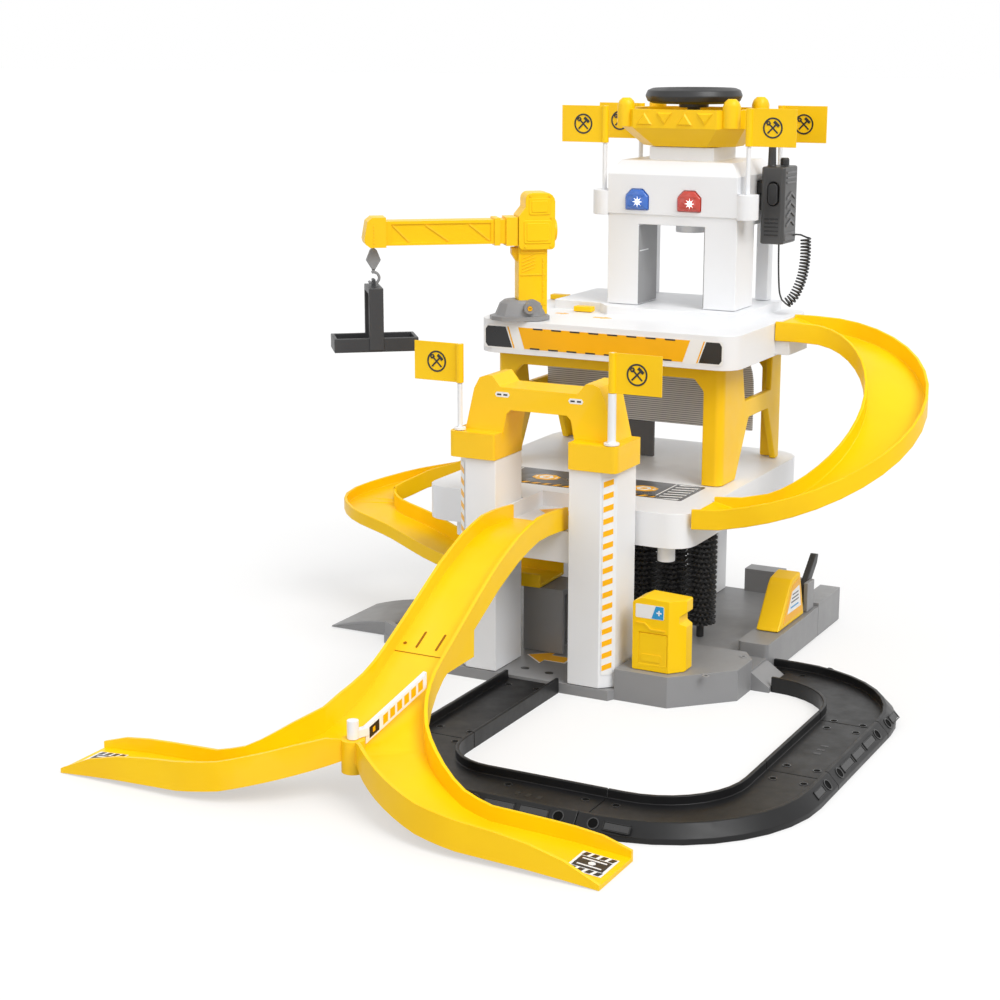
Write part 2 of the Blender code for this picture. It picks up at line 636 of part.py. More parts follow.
def make_upper_deck():
    """White upper deck with its plinth, the lift opening and the ramp bracket."""
    low = UPPER_DECK_TOP - SKIRT
    outline = rounded(rectangle((UPPER_LEFT, UPPER_RIGHT), (UPPER_FRONT, UPPER_REAR)), UPPER_CORNER)
    deck = prism(outline, low, UPPER_DECK_TOP)
    plinth = rounded([(-20 * MM, PLINTH_FRONT), (66 * MM, PLINTH_FRONT), (66 * MM, UPPER_REAR - 1 * MM),
                      (-62 * MM, UPPER_REAR - 1 * MM), (-62 * MM, PLINTH_FRONT + 12 * MM),
                      (-30 * MM, PLINTH_FRONT + 12 * MM)], 2 * MM, 2)
    fuse(deck, prism(plinth, UPPER_DECK_TOP - 2 * MM, UPPER_DECK_TOP + PLINTH_HEIGHT))
    hollow = rounded(rectangle((UPPER_LEFT + DECK_WALL, UPPER_RIGHT - DECK_WALL),
                               (UPPER_FRONT + DECK_WALL, UPPER_REAR - DECK_WALL)), UPPER_CORNER - DECK_WALL,
                               3)
    seat_depth = 4 * MM
    keep = block((BUILDING_LEFT - 1 * MM, BUILDING_RIGHT + 1 * MM),
                 (BUILDING_FRONT - 1 * MM, BUILDING_REAR + 1 * MM),
                 (low, UPPER_DECK_TOP - 4 * MM))
    inner = block((BUILDING_LEFT + 8 * MM, BUILDING_RIGHT - 8 * MM),
                  (BUILDING_FRONT + 8 * MM, BUILDING_REAR - 8 * MM),
                  (low - 1 * MM, UPPER_DECK_TOP))
    cutter = prism(hollow, low - 1 * MM, UPPER_DECK_TOP - seat_depth)
    carve(cutter, carve(keep, inner))
    carve(deck, cutter)
    bracket = block((UPPER_RIGHT - 1 * MM, UPPER_RIGHT + 9 * MM), (96 * MM, 128 * MM),
                    (low + 1 * MM, RIGHT_RAMP_START - RAMP_SIDE_HEIGHT - TOUCH))
    fuse(deck, bracket)
    return finish(deck, "upper_deck", WHITE)


def make_tower():
    """White tower head on two deep front legs and two thin rear legs, with four flag sockets."""
    left = TOWER_X - TOWER_WIDTH / 2
    right = TOWER_X + TOWER_WIDTH / 2
    rear = TOWER_FRONT + TOWER_DEPTH
    low = UPPER_DECK_TOP + PLINTH_HEIGHT + TOUCH
    head = block((left, right), (TOWER_FRONT, rear), (HEAD_LOW, HEAD_TOP))
    shoulders = loft([[(x, y, z) for x, y in rectangle((left + inset, right - inset),
                                                       (TOWER_FRONT + inset, rear - inset))]
                      for inset, z in ((0, HEAD_TOP - 1 * MM), (0, HEAD_TOP), (HEAD_BEVEL, SHOULDER_TOP))])
    neck = block((TOWER_X - NECK_WIDTH / 2, TOWER_X + NECK_WIDTH / 2),
                 (TOWER_FRONT + TOWER_DEPTH / 2 - NECK_DEPTH / 2,
                  TOWER_FRONT + TOWER_DEPTH / 2 + NECK_DEPTH / 2),
                 (SHOULDER_TOP - 1 * MM, NECK_TOP))
    lintel = block((left, right), (TOWER_FRONT + 1 * MM, rear), (DOOR_TOP, HEAD_LOW + 1 * MM))
    fuse(head, shoulders, neck, lintel)
    for x in ((left, left + TOWER_LEG), (right - TOWER_LEG, right)):
        fuse(head, block(x, (TOWER_FRONT + 1 * MM, TOWER_FRONT + TOWER_LEG_DEPTH), (low, DOOR_TOP + 2 * MM)))
    for x in ((left, left + REAR_LEG), (right - REAR_LEG, right)):
        fuse(head, block(x, (rear - REAR_LEG, rear), (low, DOOR_TOP + 2 * MM)))
    for x in (left - SOCKET_OUT, right + SOCKET_OUT):
        for y in FLAG_ROWS:
            fuse(head, rod(x, y, SOCKET_RADIUS, SOCKET_Z, SOCKET_Z + SOCKET_HEIGHT, 16))
            carve(head, rod(x, y, POLE_RADIUS + TOUCH, SOCKET_Z + 3 * MM, SOCKET_Z + SOCKET_HEIGHT + 1 * MM,
                            12))
    shaft_hole = rod(TOWER_X, TOWER_CENTRE_Y, WHEEL_SHAFT + 0.4 * MM, DOOR_TOP - 1 * MM, NECK_TOP + 1 * MM)
    carve(head, shaft_hole)
    for sign in (-1, 1):
        x = TOWER_X - 5.5 * MM + sign * LENS_SPREAD / 2
        recess = lens_outline(x, TOUCH)
        carve(head, prism(recess, TOWER_FRONT - 1 * MM, TOWER_FRONT + 2.5 * MM, "Y"))
    slot = block((right - 3 * MM, right + 1 * MM), HANDSET_SLOT_Y, HANDSET_SLOT_Z)
    carve(head, slot)
    return finish(head, "tower", WHITE)


def lens_outline(x, grow):
    """List the outline of a warning lens with an arched top, in X and Z."""
    half = LENS_WIDTH / 2 + grow
    low = LENS_Z - grow
    high = LENS_Z + LENS_HEIGHT + grow
    cut = 4 * MM
    return [(x - half, low), (x + half, low), (x + half, high - cut), (x + half - cut, high),
            (x - half + cut, high), (x - half, high - cut)]


def make_lenses():
    """Blue and red warning lenses seated in the tower's front."""
    for name, sign, spec in (("lens_blue", -1, BLUE), ("lens_red", 1, RED)):
        x = TOWER_X - 5.5 * MM + sign * LENS_SPREAD / 2
        rings = []
        for inset, y in ((0, TOWER_FRONT + 2.2 * MM), (0, TOWER_FRONT - 1 * MM),
                         (-2 * MM, TOWER_FRONT - 2.6 * MM)):
            rings.append([(px, y, pz) for px, pz in lens_outline(x, inset)])
        finish(loft(rings), name, spec)


def octagon(half_x, half_y, cut):
    """List an octagon about the tower's axis."""
    points = [(half_x - cut, -half_y), (half_x, cut - half_y), (half_x, half_y - cut), (half_x - cut, half_y)]
    points = points + [(-x, -y) for x, y in points]
    return [(TOWER_X + x, TOWER_CENTRE_Y + y) for x, y in points]


def make_crown():
    """Yellow octagonal crown with a pocket on top and rounded corner posts."""
    low = NECK_TOP + TOUCH
    rings = []
    for inset, z in ((CROWN_TAPER, low), (0, CROWN_SHOULDER), (0, CROWN_TOP)):
        rings.append([(x, y, z) for x, y in octagon(CROWN_HALF_X - inset, CROWN_HALF_Y - inset, CROWN_CUT)])
    crown = loft(rings)
    pocket = octagon(CROWN_HALF_X - CROWN_WALL, CROWN_HALF_Y - CROWN_WALL, CROWN_CUT - 1.5 * MM)
    carve(crown, prism(pocket, CROWN_FLOOR, CROWN_TOP + 1 * MM))
    for sx in (-1, 1):
        for sy in (-1, 1):
            post = turned([(POST_RADIUS, CROWN_SHOULDER + 0.5 * MM),
                           (POST_RADIUS, CROWN_TOP + CROWN_POST - 4.5 * MM),
                           (POST_RADIUS - 1 * MM, CROWN_TOP + CROWN_POST - 1.8 * MM),
                           (POST_RADIUS - 3 * MM, CROWN_TOP + CROWN_POST)],
                          TOWER_X + sx * POST_X, TOWER_CENTRE_Y + sy * POST_Y, 14)
            fuse(crown, post)
    carve(crown, rod(TOWER_X, TOWER_CENTRE_Y, WHEEL_SHAFT + 0.4 * MM, low - 1 * MM, CROWN_FLOOR + 1 * MM))
    return finish(crown, "tower_crown", YELLOW)


def torus(x, y, z, radius, tube, around=28, section=8):
    """Make a ring about a vertical axis."""
    rings = []
    for step in range(around):
        angle = math.tau * step / around
        ring = []
        for side in range(section):
            turn = math.tau * side / section
            reach = radius + tube * math.cos(turn)
            ring.append((x + reach * math.cos(angle), y + reach * math.sin(angle), z + tube * math.sin(turn)))
        rings.append(ring)
    return loft(rings, closed=True)


def make_wheel():
    """Black steering wheel, its hub and spokes, on the shaft that winds the lift."""
    y = TOWER_CENTRE_Y
    wheel = torus(TOWER_X, y, WHEEL_Z, WHEEL_RADIUS - WHEEL_RIM, WHEEL_RIM)
    fuse(wheel, rod(TOWER_X, y, WHEEL_HUB, WHEEL_Z - 7 * MM, WHEEL_Z + 1 * MM))
    for degrees in (0, 120, 240):
        angle = math.radians(degrees + 90)
        across = Vector((-math.sin(angle), math.cos(angle))) * 4 * MM
        along = Vector((math.cos(angle), math.sin(angle)))
        start = along * 4 * MM
        end = along * (WHEEL_RADIUS - WHEEL_RIM)
        corners = [start - across, end - across * 0.7, end + across * 0.7, start + across]
        outline = [(TOWER_X + p.x, y + p.y) for p in corners]
        fuse(wheel, prism(outline, WHEEL_Z - 2 * MM, WHEEL_Z + 1 * MM))
    fuse(wheel, rod(TOWER_X, y, WHEEL_SHAFT, DOOR_TOP - 3 * MM, WHEEL_Z - 5 * MM, 16))
    pulley = rod(TOWER_X, y, 8 * MM, DOOR_TOP - 5 * MM, DOOR_TOP - 0.6 * MM)
    fuse(wheel, pulley)
    return finish(wheel, "steering_wheel", BLACK, (TOWER_X, y, WHEEL_Z))


def channel(path, tops, floors, roads, width, left_height=None):
    """Loft a U-shaped lane along a plan path from its wall tops, undersides and road levels."""
    rings = []
    for index, (x, y) in enumerate(path):
        before = Vector(path[max(index - 1, 0)])
        after = Vector(path[min(index + 1, len(path) - 1)])
        along = (after - before).normalized()
        across = Vector((along.y, -along.x))
        half = width / 2
        wall = LANE_WALL
        bottom = floors[index]
        road = roads[index]
        right_top = tops[index]
        left_top = right_top if left_height is None else bottom + left_height
        section = [(-half, bottom), (-half, left_top), (wall - half, left_top), (wall - half, road),
                   (half - wall, road), (half - wall, right_top), (half, right_top), (half, bottom)]
        rings.append([(x + across.x * u, y + across.y * u, z) for u, z in section])
    return loft(rings)


def meet_deck(distance, plain, level):
    """Ease a road from a deck's level to its plain level over a short way from the deck."""
    return plain + (level - plain) * (1 - smooth_step(distance / ROAD_EASE))


def arc(x, y, radius, start, end, steps):
    """List points along an arc in degrees."""
    return [(x + radius * math.cos(math.radians(start + (end - start) * i / steps)),
             y + radius * math.sin(math.radians(start + (end - start) * i / steps))) for i in range(steps + 1)]


def path_lengths(path):
    """List the distance run at each point of a path."""
    run = [0.0]
    for first, second in zip(path, path[1:]):
        run.append(run[-1] + math.dist(first, second))
    return run


def make_right_ramp():
    """Yellow U-turn ramp from the upper deck to the lower deck on the right."""
    upper_y = RIGHT_RAMP_Y + RIGHT_RAMP_RADIUS
    lower_y = RIGHT_RAMP_Y - RIGHT_RAMP_RADIUS
    path = [(UPPER_RIGHT + TOUCH, upper_y), (UPPER_RIGHT + 14 * MM, upper_y)]
    path = path + arc(RIGHT_RAMP_X, RIGHT_RAMP_Y, RIGHT_RAMP_RADIUS, 90, -90, 18)
    path = path + [(RIGHT_RAMP_X - 16 * MM, lower_y), (LOWER_RIGHT + TOUCH, lower_y)]
    run = path_lengths(path)
    tops = [RIGHT_RAMP_START - RIGHT_RAMP_DROP * smooth_step((distance - 17 * MM) / (run[-1] - 17 * MM))
            for distance in run]
    floors = [top - RAMP_SIDE_HEIGHT for top in tops]
    roads = []
    for distance, floor in zip(run, floors):
        plain = floor + LANE_FLOOR
        road = meet_deck(distance, plain, UPPER_DECK_TOP - ROAD_STEP)
        roads.append(max(road, meet_deck(run[-1] - distance, plain, LOWER_DECK_TOP + ROAD_STEP)))
    ramp = channel(path, tops, floors, roads, RAMP_WIDTH)
    return finish(ramp, "ramp_right", YELLOW)


def smooth_curve(points, per_span):
    """Run a Catmull-Rom curve through points of any dimension."""
    knots = [np.array(p) for p in points]
    knots = [2 * knots[0] - knots[1]] + knots + [2 * knots[-1] - knots[-2]]
    result = []
    for index in range(1, len(knots) - 2):
        p0, p1, p2, p3 = knots[index - 1:index + 3]
        for step in range(per_span):
            t = step / per_span
            result.append(0.5 * (2 * p1 + (p2 - p0) * t + (2 * p0 - 5 * p1 + 4 * p2 - p3) * t ** 2
                                 + (3 * p1 - p0 - 3 * p2 + p3) * t ** 3))
    result.append(knots[-2])
    return result


def make_left_ramp():
    """Yellow U-turn ramp from the lower deck's left side back in under the deck."""
    curve = smooth_curve(LEFT_RAMP_ROUTE, 4)
    path = [(p[0], p[1]) for p in curve]
    floors = [p[2] for p in curve]
    tops = [z + 8 * MM for z in floors]
    roads = [meet_deck(distance, floor + LANE_FLOOR, LOWER_DECK_TOP - 2 * MM)
             for distance, floor in zip(path_lengths(path), floors)]
    tops = [max(top, road + LANE_FLOOR) for top, road in zip(tops, roads)]
    ramp = channel(path, tops, floors, roads, RAMP_WIDTH - 2 * MM, RAMP_SIDE_HEIGHT)
    finish(ramp, "ramp_left", YELLOW)
    x, y, z = LEFT_RAMP_ROUTE[-1]
    half = STAND_WIDTH / 2
    stand = block((x - 12 * MM, x + 14 * MM), (y - half, y + half), (FLOOR_TOP + TOUCH, z - TOUCH))
    carve(stand, block((x - 13 * MM, x + 15 * MM), (y - half + 3 * MM, y + half - 3 * MM),
                       (FLOOR_TOP - 1 * MM, z - 4 * MM)))
    finish(stand, "ramp_stand", GREY)


def read_profile(profile, at):
    """Interpolate a profile of (distance, height) pairs in millimetres."""
    distances = [pair[0] for pair in profile]
    heights = [pair[1] for pair in profile]
    return float(np.interp(at / MM, distances, heights)) * MM


def wall_along(path, run, heights, side, width):
    """Loft one side wall of a lane along its centre path."""
    rings = []
    for index, (x, y) in enumerate(path):
        before = Vector(path[max(index - 1, 0)])
        after = Vector(path[min(index + 1, len(path) - 1)])
        along = (after - before).normalized()
        across = Vector((along.y, -along.x)) * side
        outer, inner = width / 2, width / 2 - LANE_WALL
        low = read_profile(BRANCH_PROFILE, run[index])
        high = low + read_profile(heights, run[index])
        rings.append([(x + across.x * u, y + across.y * u, z)
                      for u, z in ((outer, low), (outer, high), (inner, high),
                                   (inner, low + LANE_FLOOR / 2))])
    return loft(rings)


def branch_path(side, first):
    """List the centre path of one branch from an angle on its bend to its tip, with distances."""
    steps = 12
    path, run = [], []
    for step in range(steps + 1):
        angle = math.radians(first + (90 - first) * step / steps)
        path.append((side * (BRANCH_RADIUS - BRANCH_RADIUS * math.cos(angle)),
                     SPLIT_Y - BRANCH_RADIUS * math.sin(angle)))
        run.append(BRANCH_RADIUS * angle)
    count = 4
    for step in range(1, count + 1):
        x = BRANCH_RADIUS + (BRANCH_TIP - BRANCH_RADIUS) * step / count
        path.append((side * x, SPLIT_Y - BRANCH_RADIUS))
        run.append(run[steps] + x - BRANCH_RADIUS)
    return path, run


def half_ring(centre, across, near, low, wall, skirt):
    """List one section of a half lane: its floor from the near edge out to the outer wall."""
    outer = RAMP_WIDTH / 2
    inner = outer - LANE_WALL
    floor = low + LANE_FLOOR
    section = [(near, low), (inner, low), (inner, low - skirt), (outer, low - skirt),
               (outer, low + wall), (inner, low + wall), (inner, floor), (near, floor)]
    return [(centre[0] + across[0] * u, centre[1] + across[1] * u, z) for u, z in section]


def trunk_rings(side):
    """List a half lane's sections down the trunk, with the deeper skirt of its lower piece."""
    wall_heights = TRUNK_RIGHT_WALL if side > 0 else TRUNK_LEFT_WALL
    count = 12
    stations = [TRUNK_REAR + (SPLIT_Y - TRUNK_REAR) * i / count for i in range(count)]
    stations = stations + [SKIRT_REAR + TOUCH, SKIRT_REAR, SKIRT_FRONT]
    rings = []
    for y in sorted(stations, reverse=True):
        low = read_profile(TRUNK_PROFILE, -y)
        wall = read_profile(wall_heights, -y)
        skirt = RIB
        if SKIRT_FRONT <= y <= SKIRT_REAR:
            skirt = RIB + SKIRT_DEPTH * (y - SKIRT_FRONT) / (SKIRT_REAR - SKIRT_FRONT)
        rings.append(half_ring((0, y), (side, 0), 0, low, wall, skirt))
    return rings


def branch_rings(side):
    """List a half lane's sections round its branch; its near edge follows the middle until it clears it."""
    outer = RAMP_WIDTH / 2 - 0.1 * MM
    clear = math.degrees(math.acos(BRANCH_RADIUS / (BRANCH_RADIUS + outer)))
    turns = sorted([7.5 * i for i in range(13)] + [clear])
    places = [(math.radians(turn), 0) for turn in turns]
    straight = BRANCH_TIP - BRANCH_RADIUS
    places = places + [(math.pi / 2, straight * i / 5) for i in range(1, 6)]
    rings = []
    for angle, past in places:
        run = BRANCH_RADIUS * angle + past
        centre = (side * (BRANCH_RADIUS - BRANCH_RADIUS * math.cos(angle) + past),
                  SPLIT_Y - BRANCH_RADIUS * math.sin(angle))
        near = outer
        if math.degrees(angle) < clear:
            near = BRANCH_RADIUS / math.cos(angle) - BRANCH_RADIUS
        low = read_profile(BRANCH_PROFILE, run)
        skirt = min(RIB, low / 2)
        rings.append(half_ring(centre, (side * math.cos(angle), math.sin(angle)), -near, low,
                               read_profile(BRANCH_REAR_WALL, run), skirt))
    return rings


def join_halves(halves):
    """Skin two mirrored lists of rings into one solid that has no faces on the middle plane."""
    shape = bmesh.new()
    for rings in halves:
        levels = [[shape.verts.new(point) for point in ring] for ring in rings]
        count = len(rings[0])
        for lower, upper in zip(levels, levels[1:]):
            for index in range(count):
                following = (index + 1) % count
                corners = (lower[index], lower[following], upper[following], upper[index])
                if any(abs(corner.co.x) > TOUCH / 2 for corner in corners):
                    shape.faces.new(corners)
        shape.faces.new(levels[0])
        shape.faces.new(levels[-1])
    bmesh.ops.remove_doubles(shape, verts=shape.verts, dist=0.001 * MM)
    return to_object(shape)


def make_front_ramp():
    """Yellow ramp from the gate that forks into two mirrored branches on the floor."""
    ramp = join_halves([trunk_rings(side) + branch_rings(side) for side in (-1, 1)])
    reach = BRANCH_RADIUS + RAMP_WIDTH / 2 - LANE_WALL / 2
    hub_angle = math.degrees(math.acos(BRANCH_RADIUS / reach))
    for side in (-1, 1):
        path, run = branch_path(side, hub_angle)
        fuse(ramp, wall_along(path, run, BRANCH_NEAR_WALL, side, RAMP_WIDTH))
    fuse(ramp, rod(0, HUB_Y, HUB_RADIUS, HUB_BOTTOM, HUB_TOP, 16))
    return finish(ramp, "ramp_front", YELLOW)


def make_diverter():
    """White diverter arm on its pin at the fork; it slopes with the road and rests against the right wall."""
    angle = math.radians(69)
    along = Vector((math.cos(angle), math.sin(angle)))
    across = Vector((-along.y, along.x)) * ARM_THICKNESS / 2
    pivot = Vector((0, HUB_Y))
    rings = []
    for reach, low in ((HUB_RADIUS + 0.8 * MM, ARM_LOW), (ARM_REACH, ARM_HIGH)):
        point = pivot + along * reach
        rings.append([(point.x - across.x, point.y - across.y, low),
                      (point.x + across.x, point.y + across.y, low),
                      (point.x + across.x, point.y + across.y, low + ARM_HEIGHT),
                      (point.x - across.x, point.y - across.y, low + ARM_HEIGHT)])
    arm = loft(rings)
    link_end = pivot + along * (HUB_RADIUS + 2.5 * MM)
    wide = across * 1.6
    link = prism([pivot - wide, link_end - wide, link_end + wide, pivot + wide], HUB_TOP + TOUCH,
                 ARM_LOW + ARM_HEIGHT)
    fuse(arm, link, rod(0, HUB_Y, ARM_PIN, HUB_TOP + TOUCH, HUB_TOP + ARM_PIN_HEIGHT, 16))
    return finish(arm, "diverter_arm", WHITE, (0, HUB_Y, HUB_TOP))


def track_section(path, name, notch=None):
    """Loft one black track piece: inner rail, road, outer rail and its sloping skirt."""
    rings = []
    half = TRACK_WIDTH / 2
    rail = TRACK_RAIL_WIDTH
    profile = [(-half, 0), (-half, TRACK_RAIL), (rail - half, TRACK_RAIL), (rail - half, TRACK_ROAD),
               (half - rail, TRACK_ROAD), (half - rail, TRACK_RAIL), (half, TRACK_RAIL),
               (half + TRACK_SLOPE, TRACK_EDGE), (half + TRACK_SLOPE, 0)]
    for index, (x, y) in enumerate(path):
        before = Vector(path[max(index - 1, 0)])
        after = Vector(path[min(index + 1, len(path) - 1)])
        along = (after - before).normalized()
        across = Vector((along.y, -along.x))
        rings.append([(x + across.x * u, y + across.y * u, z) for u, z in profile])
    section = loft(rings)
    if notch is not None:
        carve(section, notch)
    finish(section, name, BLACK)


def make_track():
    """Black road track in five pieces from the gate round to the platform's right side."""
    half = TRACK_WIDTH / 2
    left = TRACK_INNER_LEFT - half
    front = TRACK_INNER_FRONT - half
    right = TRACK_INNER_RIGHT + half
    rear = TRACK_INNER_REAR + half
    first, second, third = 28 * MM + half, 44 * MM + half, 39 * MM + half
    gap = TOUCH / 2
    start = BASE_FRONT - TOUCH
    end = BASE_RIGHT + ISLAND_OUT + TOUCH
    seam_left = -160 * MM
    seam_front = 112 * MM
    seam_right = -128 * MM
    seam_rear = rear - third - 4 * MM
    track_section([(left, start), (left, seam_left + gap)], "track_entry")
    corner = [(left, seam_left - gap)] + arc(left + first, front + first, first, 180, 270, 8)
    track_section(corner + [(seam_front - gap, front)], "track_corner_left")
    corner = [(seam_front + gap, front)] + arc(right - second, front + second, second, 270, 360, 9)
    track_section(corner + [(right, seam_right - gap)], "track_corner_right")
    track_section([(right, seam_right + gap), (right, seam_rear - gap)], "track_side")
    corner = [(right, seam_rear + gap)] + arc(right - third, rear - third, third, 0, 90, 9)
    lip_notch = block((end - 1 * MM, BASE_RIGHT + LIP_LENGTH + TOUCH),
                      (LIP_FRONT - 20 * MM, LIP_REAR + TOUCH),
                      (-1 * MM, TRACK_RAIL + 1 * MM))
    track_section(corner + [(end, rear)], "track_corner_rear", lip_notch)


def slewed(item):
    """Turn a crane solid about the turret's axis to the resting slew."""
    turn = math.radians(CRANE_SLEW)
    for vertex in item.data.vertices:
        x = vertex.co.x - CRANE_X
        y = vertex.co.y - CRANE_Y
        vertex.co.x = CRANE_X + x * math.cos(turn) - y * math.sin(turn)
        vertex.co.y = CRANE_Y + x * math.sin(turn) + y * math.cos(turn)
    return item


def slewed_point(x, y, z):
    """Turn one point of the crane's layout to the resting slew."""
    turn = math.radians(CRANE_SLEW)
    dx, dy = x - CRANE_X, y - CRANE_Y
    return (CRANE_X + dx * math.cos(turn) - dy * math.sin(turn),
            CRANE_Y + dx * math.sin(turn) + dy * math.cos(turn), z)


def turret_outline(scale, tail):
    """List the turret's plan outline at one level: a bow to the front and a straight tail."""
    bow, half = TURRET_FRONT * scale, TURRET_HALF * scale
    side = [(-bow, 0.25), (-bow * 0.72, 0.75), (-bow * 0.2, 1), (tail * 0.6, 1), (tail, 0.55)]
    outline = [(x, -half * part) for x, part in side] + [(x, half * part) for x, part in reversed(side)]
    return [(CRANE_X + x, CRANE_Y + y) for x, y in outline]


def make_turret():
    """Grey boat-shaped turret with a socket for the mast and a screw boss."""
    deck = UPPER_DECK_TOP + TOUCH
    levels = ((1, 17.3 * MM, 0), (1, 17.3 * MM, TURRET_FLANGE), (0.83, 16 * MM, TURRET_FLANGE + 0.5 * MM),
              (0.66, 14.8 * MM, TURRET_HEIGHT - 2 * MM), (0.5, 14.4 * MM, TURRET_HEIGHT))
    turret = loft([[(x, y, deck + height) for x, y in turret_outline(scale, tail)]
                   for scale, tail, height in levels])
    mast_x = CRANE_X + MAST_SETBACK
    half = MAST_WIDTH / 2
    depth = MAST_DEPTH / 2
    boss = rod(mast_x - 1 * MM, deck + TURRET_HEIGHT - 4 * MM, 4.6 * MM, CRANE_Y - depth - 3.4 * MM, CRANE_Y,
               18, "Y")
    foot = block((mast_x - 5.6 * MM, mast_x + 3.6 * MM), (CRANE_Y - depth - 3.4 * MM, CRANE_Y),
                 (deck + 1 * MM, deck + TURRET_HEIGHT - 4 * MM))
    fuse(turret, boss, foot)
    carve(turret, block((mast_x - half - TOUCH, mast_x + half + TOUCH),
                        (CRANE_Y - depth - TOUCH, CRANE_Y + depth + TOUCH),
                        (deck + 3 * MM, deck + 30 * MM)))
    finish(slewed(turret), "crane_turret", GREY, (CRANE_X, CRANE_Y, UPPER_DECK_TOP))


def make_crane():
    """Crane: grey turret, yellow mast with its head, boom with end cap, hook block and cradle."""
    make_turret()
    pivot = (CRANE_X, CRANE_Y, UPPER_DECK_TOP)
    mast_x = CRANE_X + MAST_SETBACK
    half, depth = MAST_WIDTH / 2, MAST_DEPTH / 2
    mast = block((mast_x - half, mast_x + half), (CRANE_Y - depth, CRANE_Y + depth),
                 (UPPER_DECK_TOP + 3.6 * MM, MAST_TOP + 1 * MM))
    head_x = mast_x + 1.9 * MM
    head_half = HEAD_WIDTH / 2
    shoulder = BOOM_LOW + BOOM_HEIGHT + 2 * MM
    head_outline = rounded([(head_x - head_half, MAST_TOP), (head_x + head_half, MAST_TOP),
                            (head_x + head_half, CRANE_HEAD_TOP),
                            (head_x - head_half + 4 * MM, CRANE_HEAD_TOP),
                            (head_x - head_half + 4 * MM, shoulder + 5 * MM), (head_x - head_half, shoulder)],
                           [2.5 * MM, 2.5 * MM, 5.5 * MM, 4 * MM, 0, 0], 4)
    head = prism(head_outline, CRANE_Y - HEAD_DEPTH / 2, CRANE_Y + HEAD_DEPTH / 2, "Y")
    knob = rod(CRANE_Y, BOOM_LOW + BOOM_HEIGHT / 2, 6.5 * MM, head_x + head_half - 1 * MM,
               head_x + head_half + 2 * MM, 18, "X")
    gusset = prism([(mast_x - half - 3.5 * MM, MAST_TOP + 1 * MM),
                    (mast_x - half - 3.5 * MM, MAST_TOP - 3 * MM),
                    (mast_x - half + 1 * MM, MAST_TOP - 10 * MM),
                    (mast_x - half + 1 * MM, MAST_TOP + 1 * MM)],
                   CRANE_Y - 3 * MM, CRANE_Y + 3 * MM, "Y")
    fuse(mast, head, knob, gusset)
    finish(slewed(mast), "crane_mast", YELLOW, pivot)
    root = head_x - head_half - TOUCH
    low, high = BOOM_LOW, BOOM_LOW + BOOM_HEIGHT
    end = mast_x - BOOM_REACH
    boom = block((end, root), (CRANE_Y - BOOM_DEPTH / 2, CRANE_Y + BOOM_DEPTH / 2), (low, high))
    panel = block((end + 4 * MM, root - 16 * MM), (CRANE_Y - BOOM_DEPTH, CRANE_Y - BOOM_DEPTH / 2 + 0.7 * MM),
                  (low + 1.5 * MM, high - 1.8 * MM))
    carve(boom, panel)
    for start, finish_at, grow in ((root - 7 * MM, root - 0.1 * MM, 1.3 * MM),
                                   (root - 14 * MM, root - 10.6 * MM, 1 * MM)):
        fuse(boom, block((start, finish_at), (CRANE_Y - BOOM_DEPTH / 2 - grow,
                                              CRANE_Y + BOOM_DEPTH / 2 + grow),
                         (low - grow, high + grow)))
    cap = mast_x - CAP_REACH
    cap_outline = [(end + 1 * MM, low - 1 * MM), (end + 1 * MM, high + 2.4 * MM),
                   (cap + 5 * MM, high + 2.4 * MM),
                   (cap + 2 * MM, high), (cap, low + 3.5 * MM), (cap + 0.8 * MM, low + 1 * MM),
                   (cap + 3.5 * MM, low - 1 * MM)]
    fuse(boom, prism(cap_outline, CRANE_Y - 8 * MM, CRANE_Y + 8 * MM, "Y"))
    finish(slewed(boom), "crane_boom", YELLOW, pivot)
    make_hook(mast_x - HOOK_REACH)
    make_cradle(mast_x - HOOK_REACH)


def make_hook(x):
    """Grey hook block: a diamond plate with a hook below it."""
    y = CRANE_Y
    top = HOOK_PLATE_TOP
    plate = [(x - 1 * MM, top - 13 * MM), (x + 1 * MM, top - 13 * MM), (x + 4.4 * MM, top - 7.5 * MM),
             (x + 2 * MM, top - 1.6 * MM),
             (x, top), (x - 2 * MM, top - 1.6 * MM), (x - 4.4 * MM, top - 7.5 * MM)]
    hook = prism(plate, y - 1.5 * MM, y + 1.5 * MM, "Y")
    half = HOOK_THICKNESS / 2
    ring_top = HOOK_Z + HOOK_RADIUS
    fuse(hook, block((x - half, x + half), (y - half, y + half), (ring_top - HOOK_THICKNESS, top - 12 * MM)))
    outer = arc(x, HOOK_Z, HOOK_RADIUS, 110, -150, 12)
    inner = arc(x, HOOK_Z, HOOK_RADIUS - HOOK_THICKNESS, -150, 110, 12)
    fuse(hook, prism(outer + inner, y - half, y + half, "Y"))
    finish(slewed(hook), "hook_block", GREY, slewed_point(x, y, BOOM_LOW - 1 * MM))


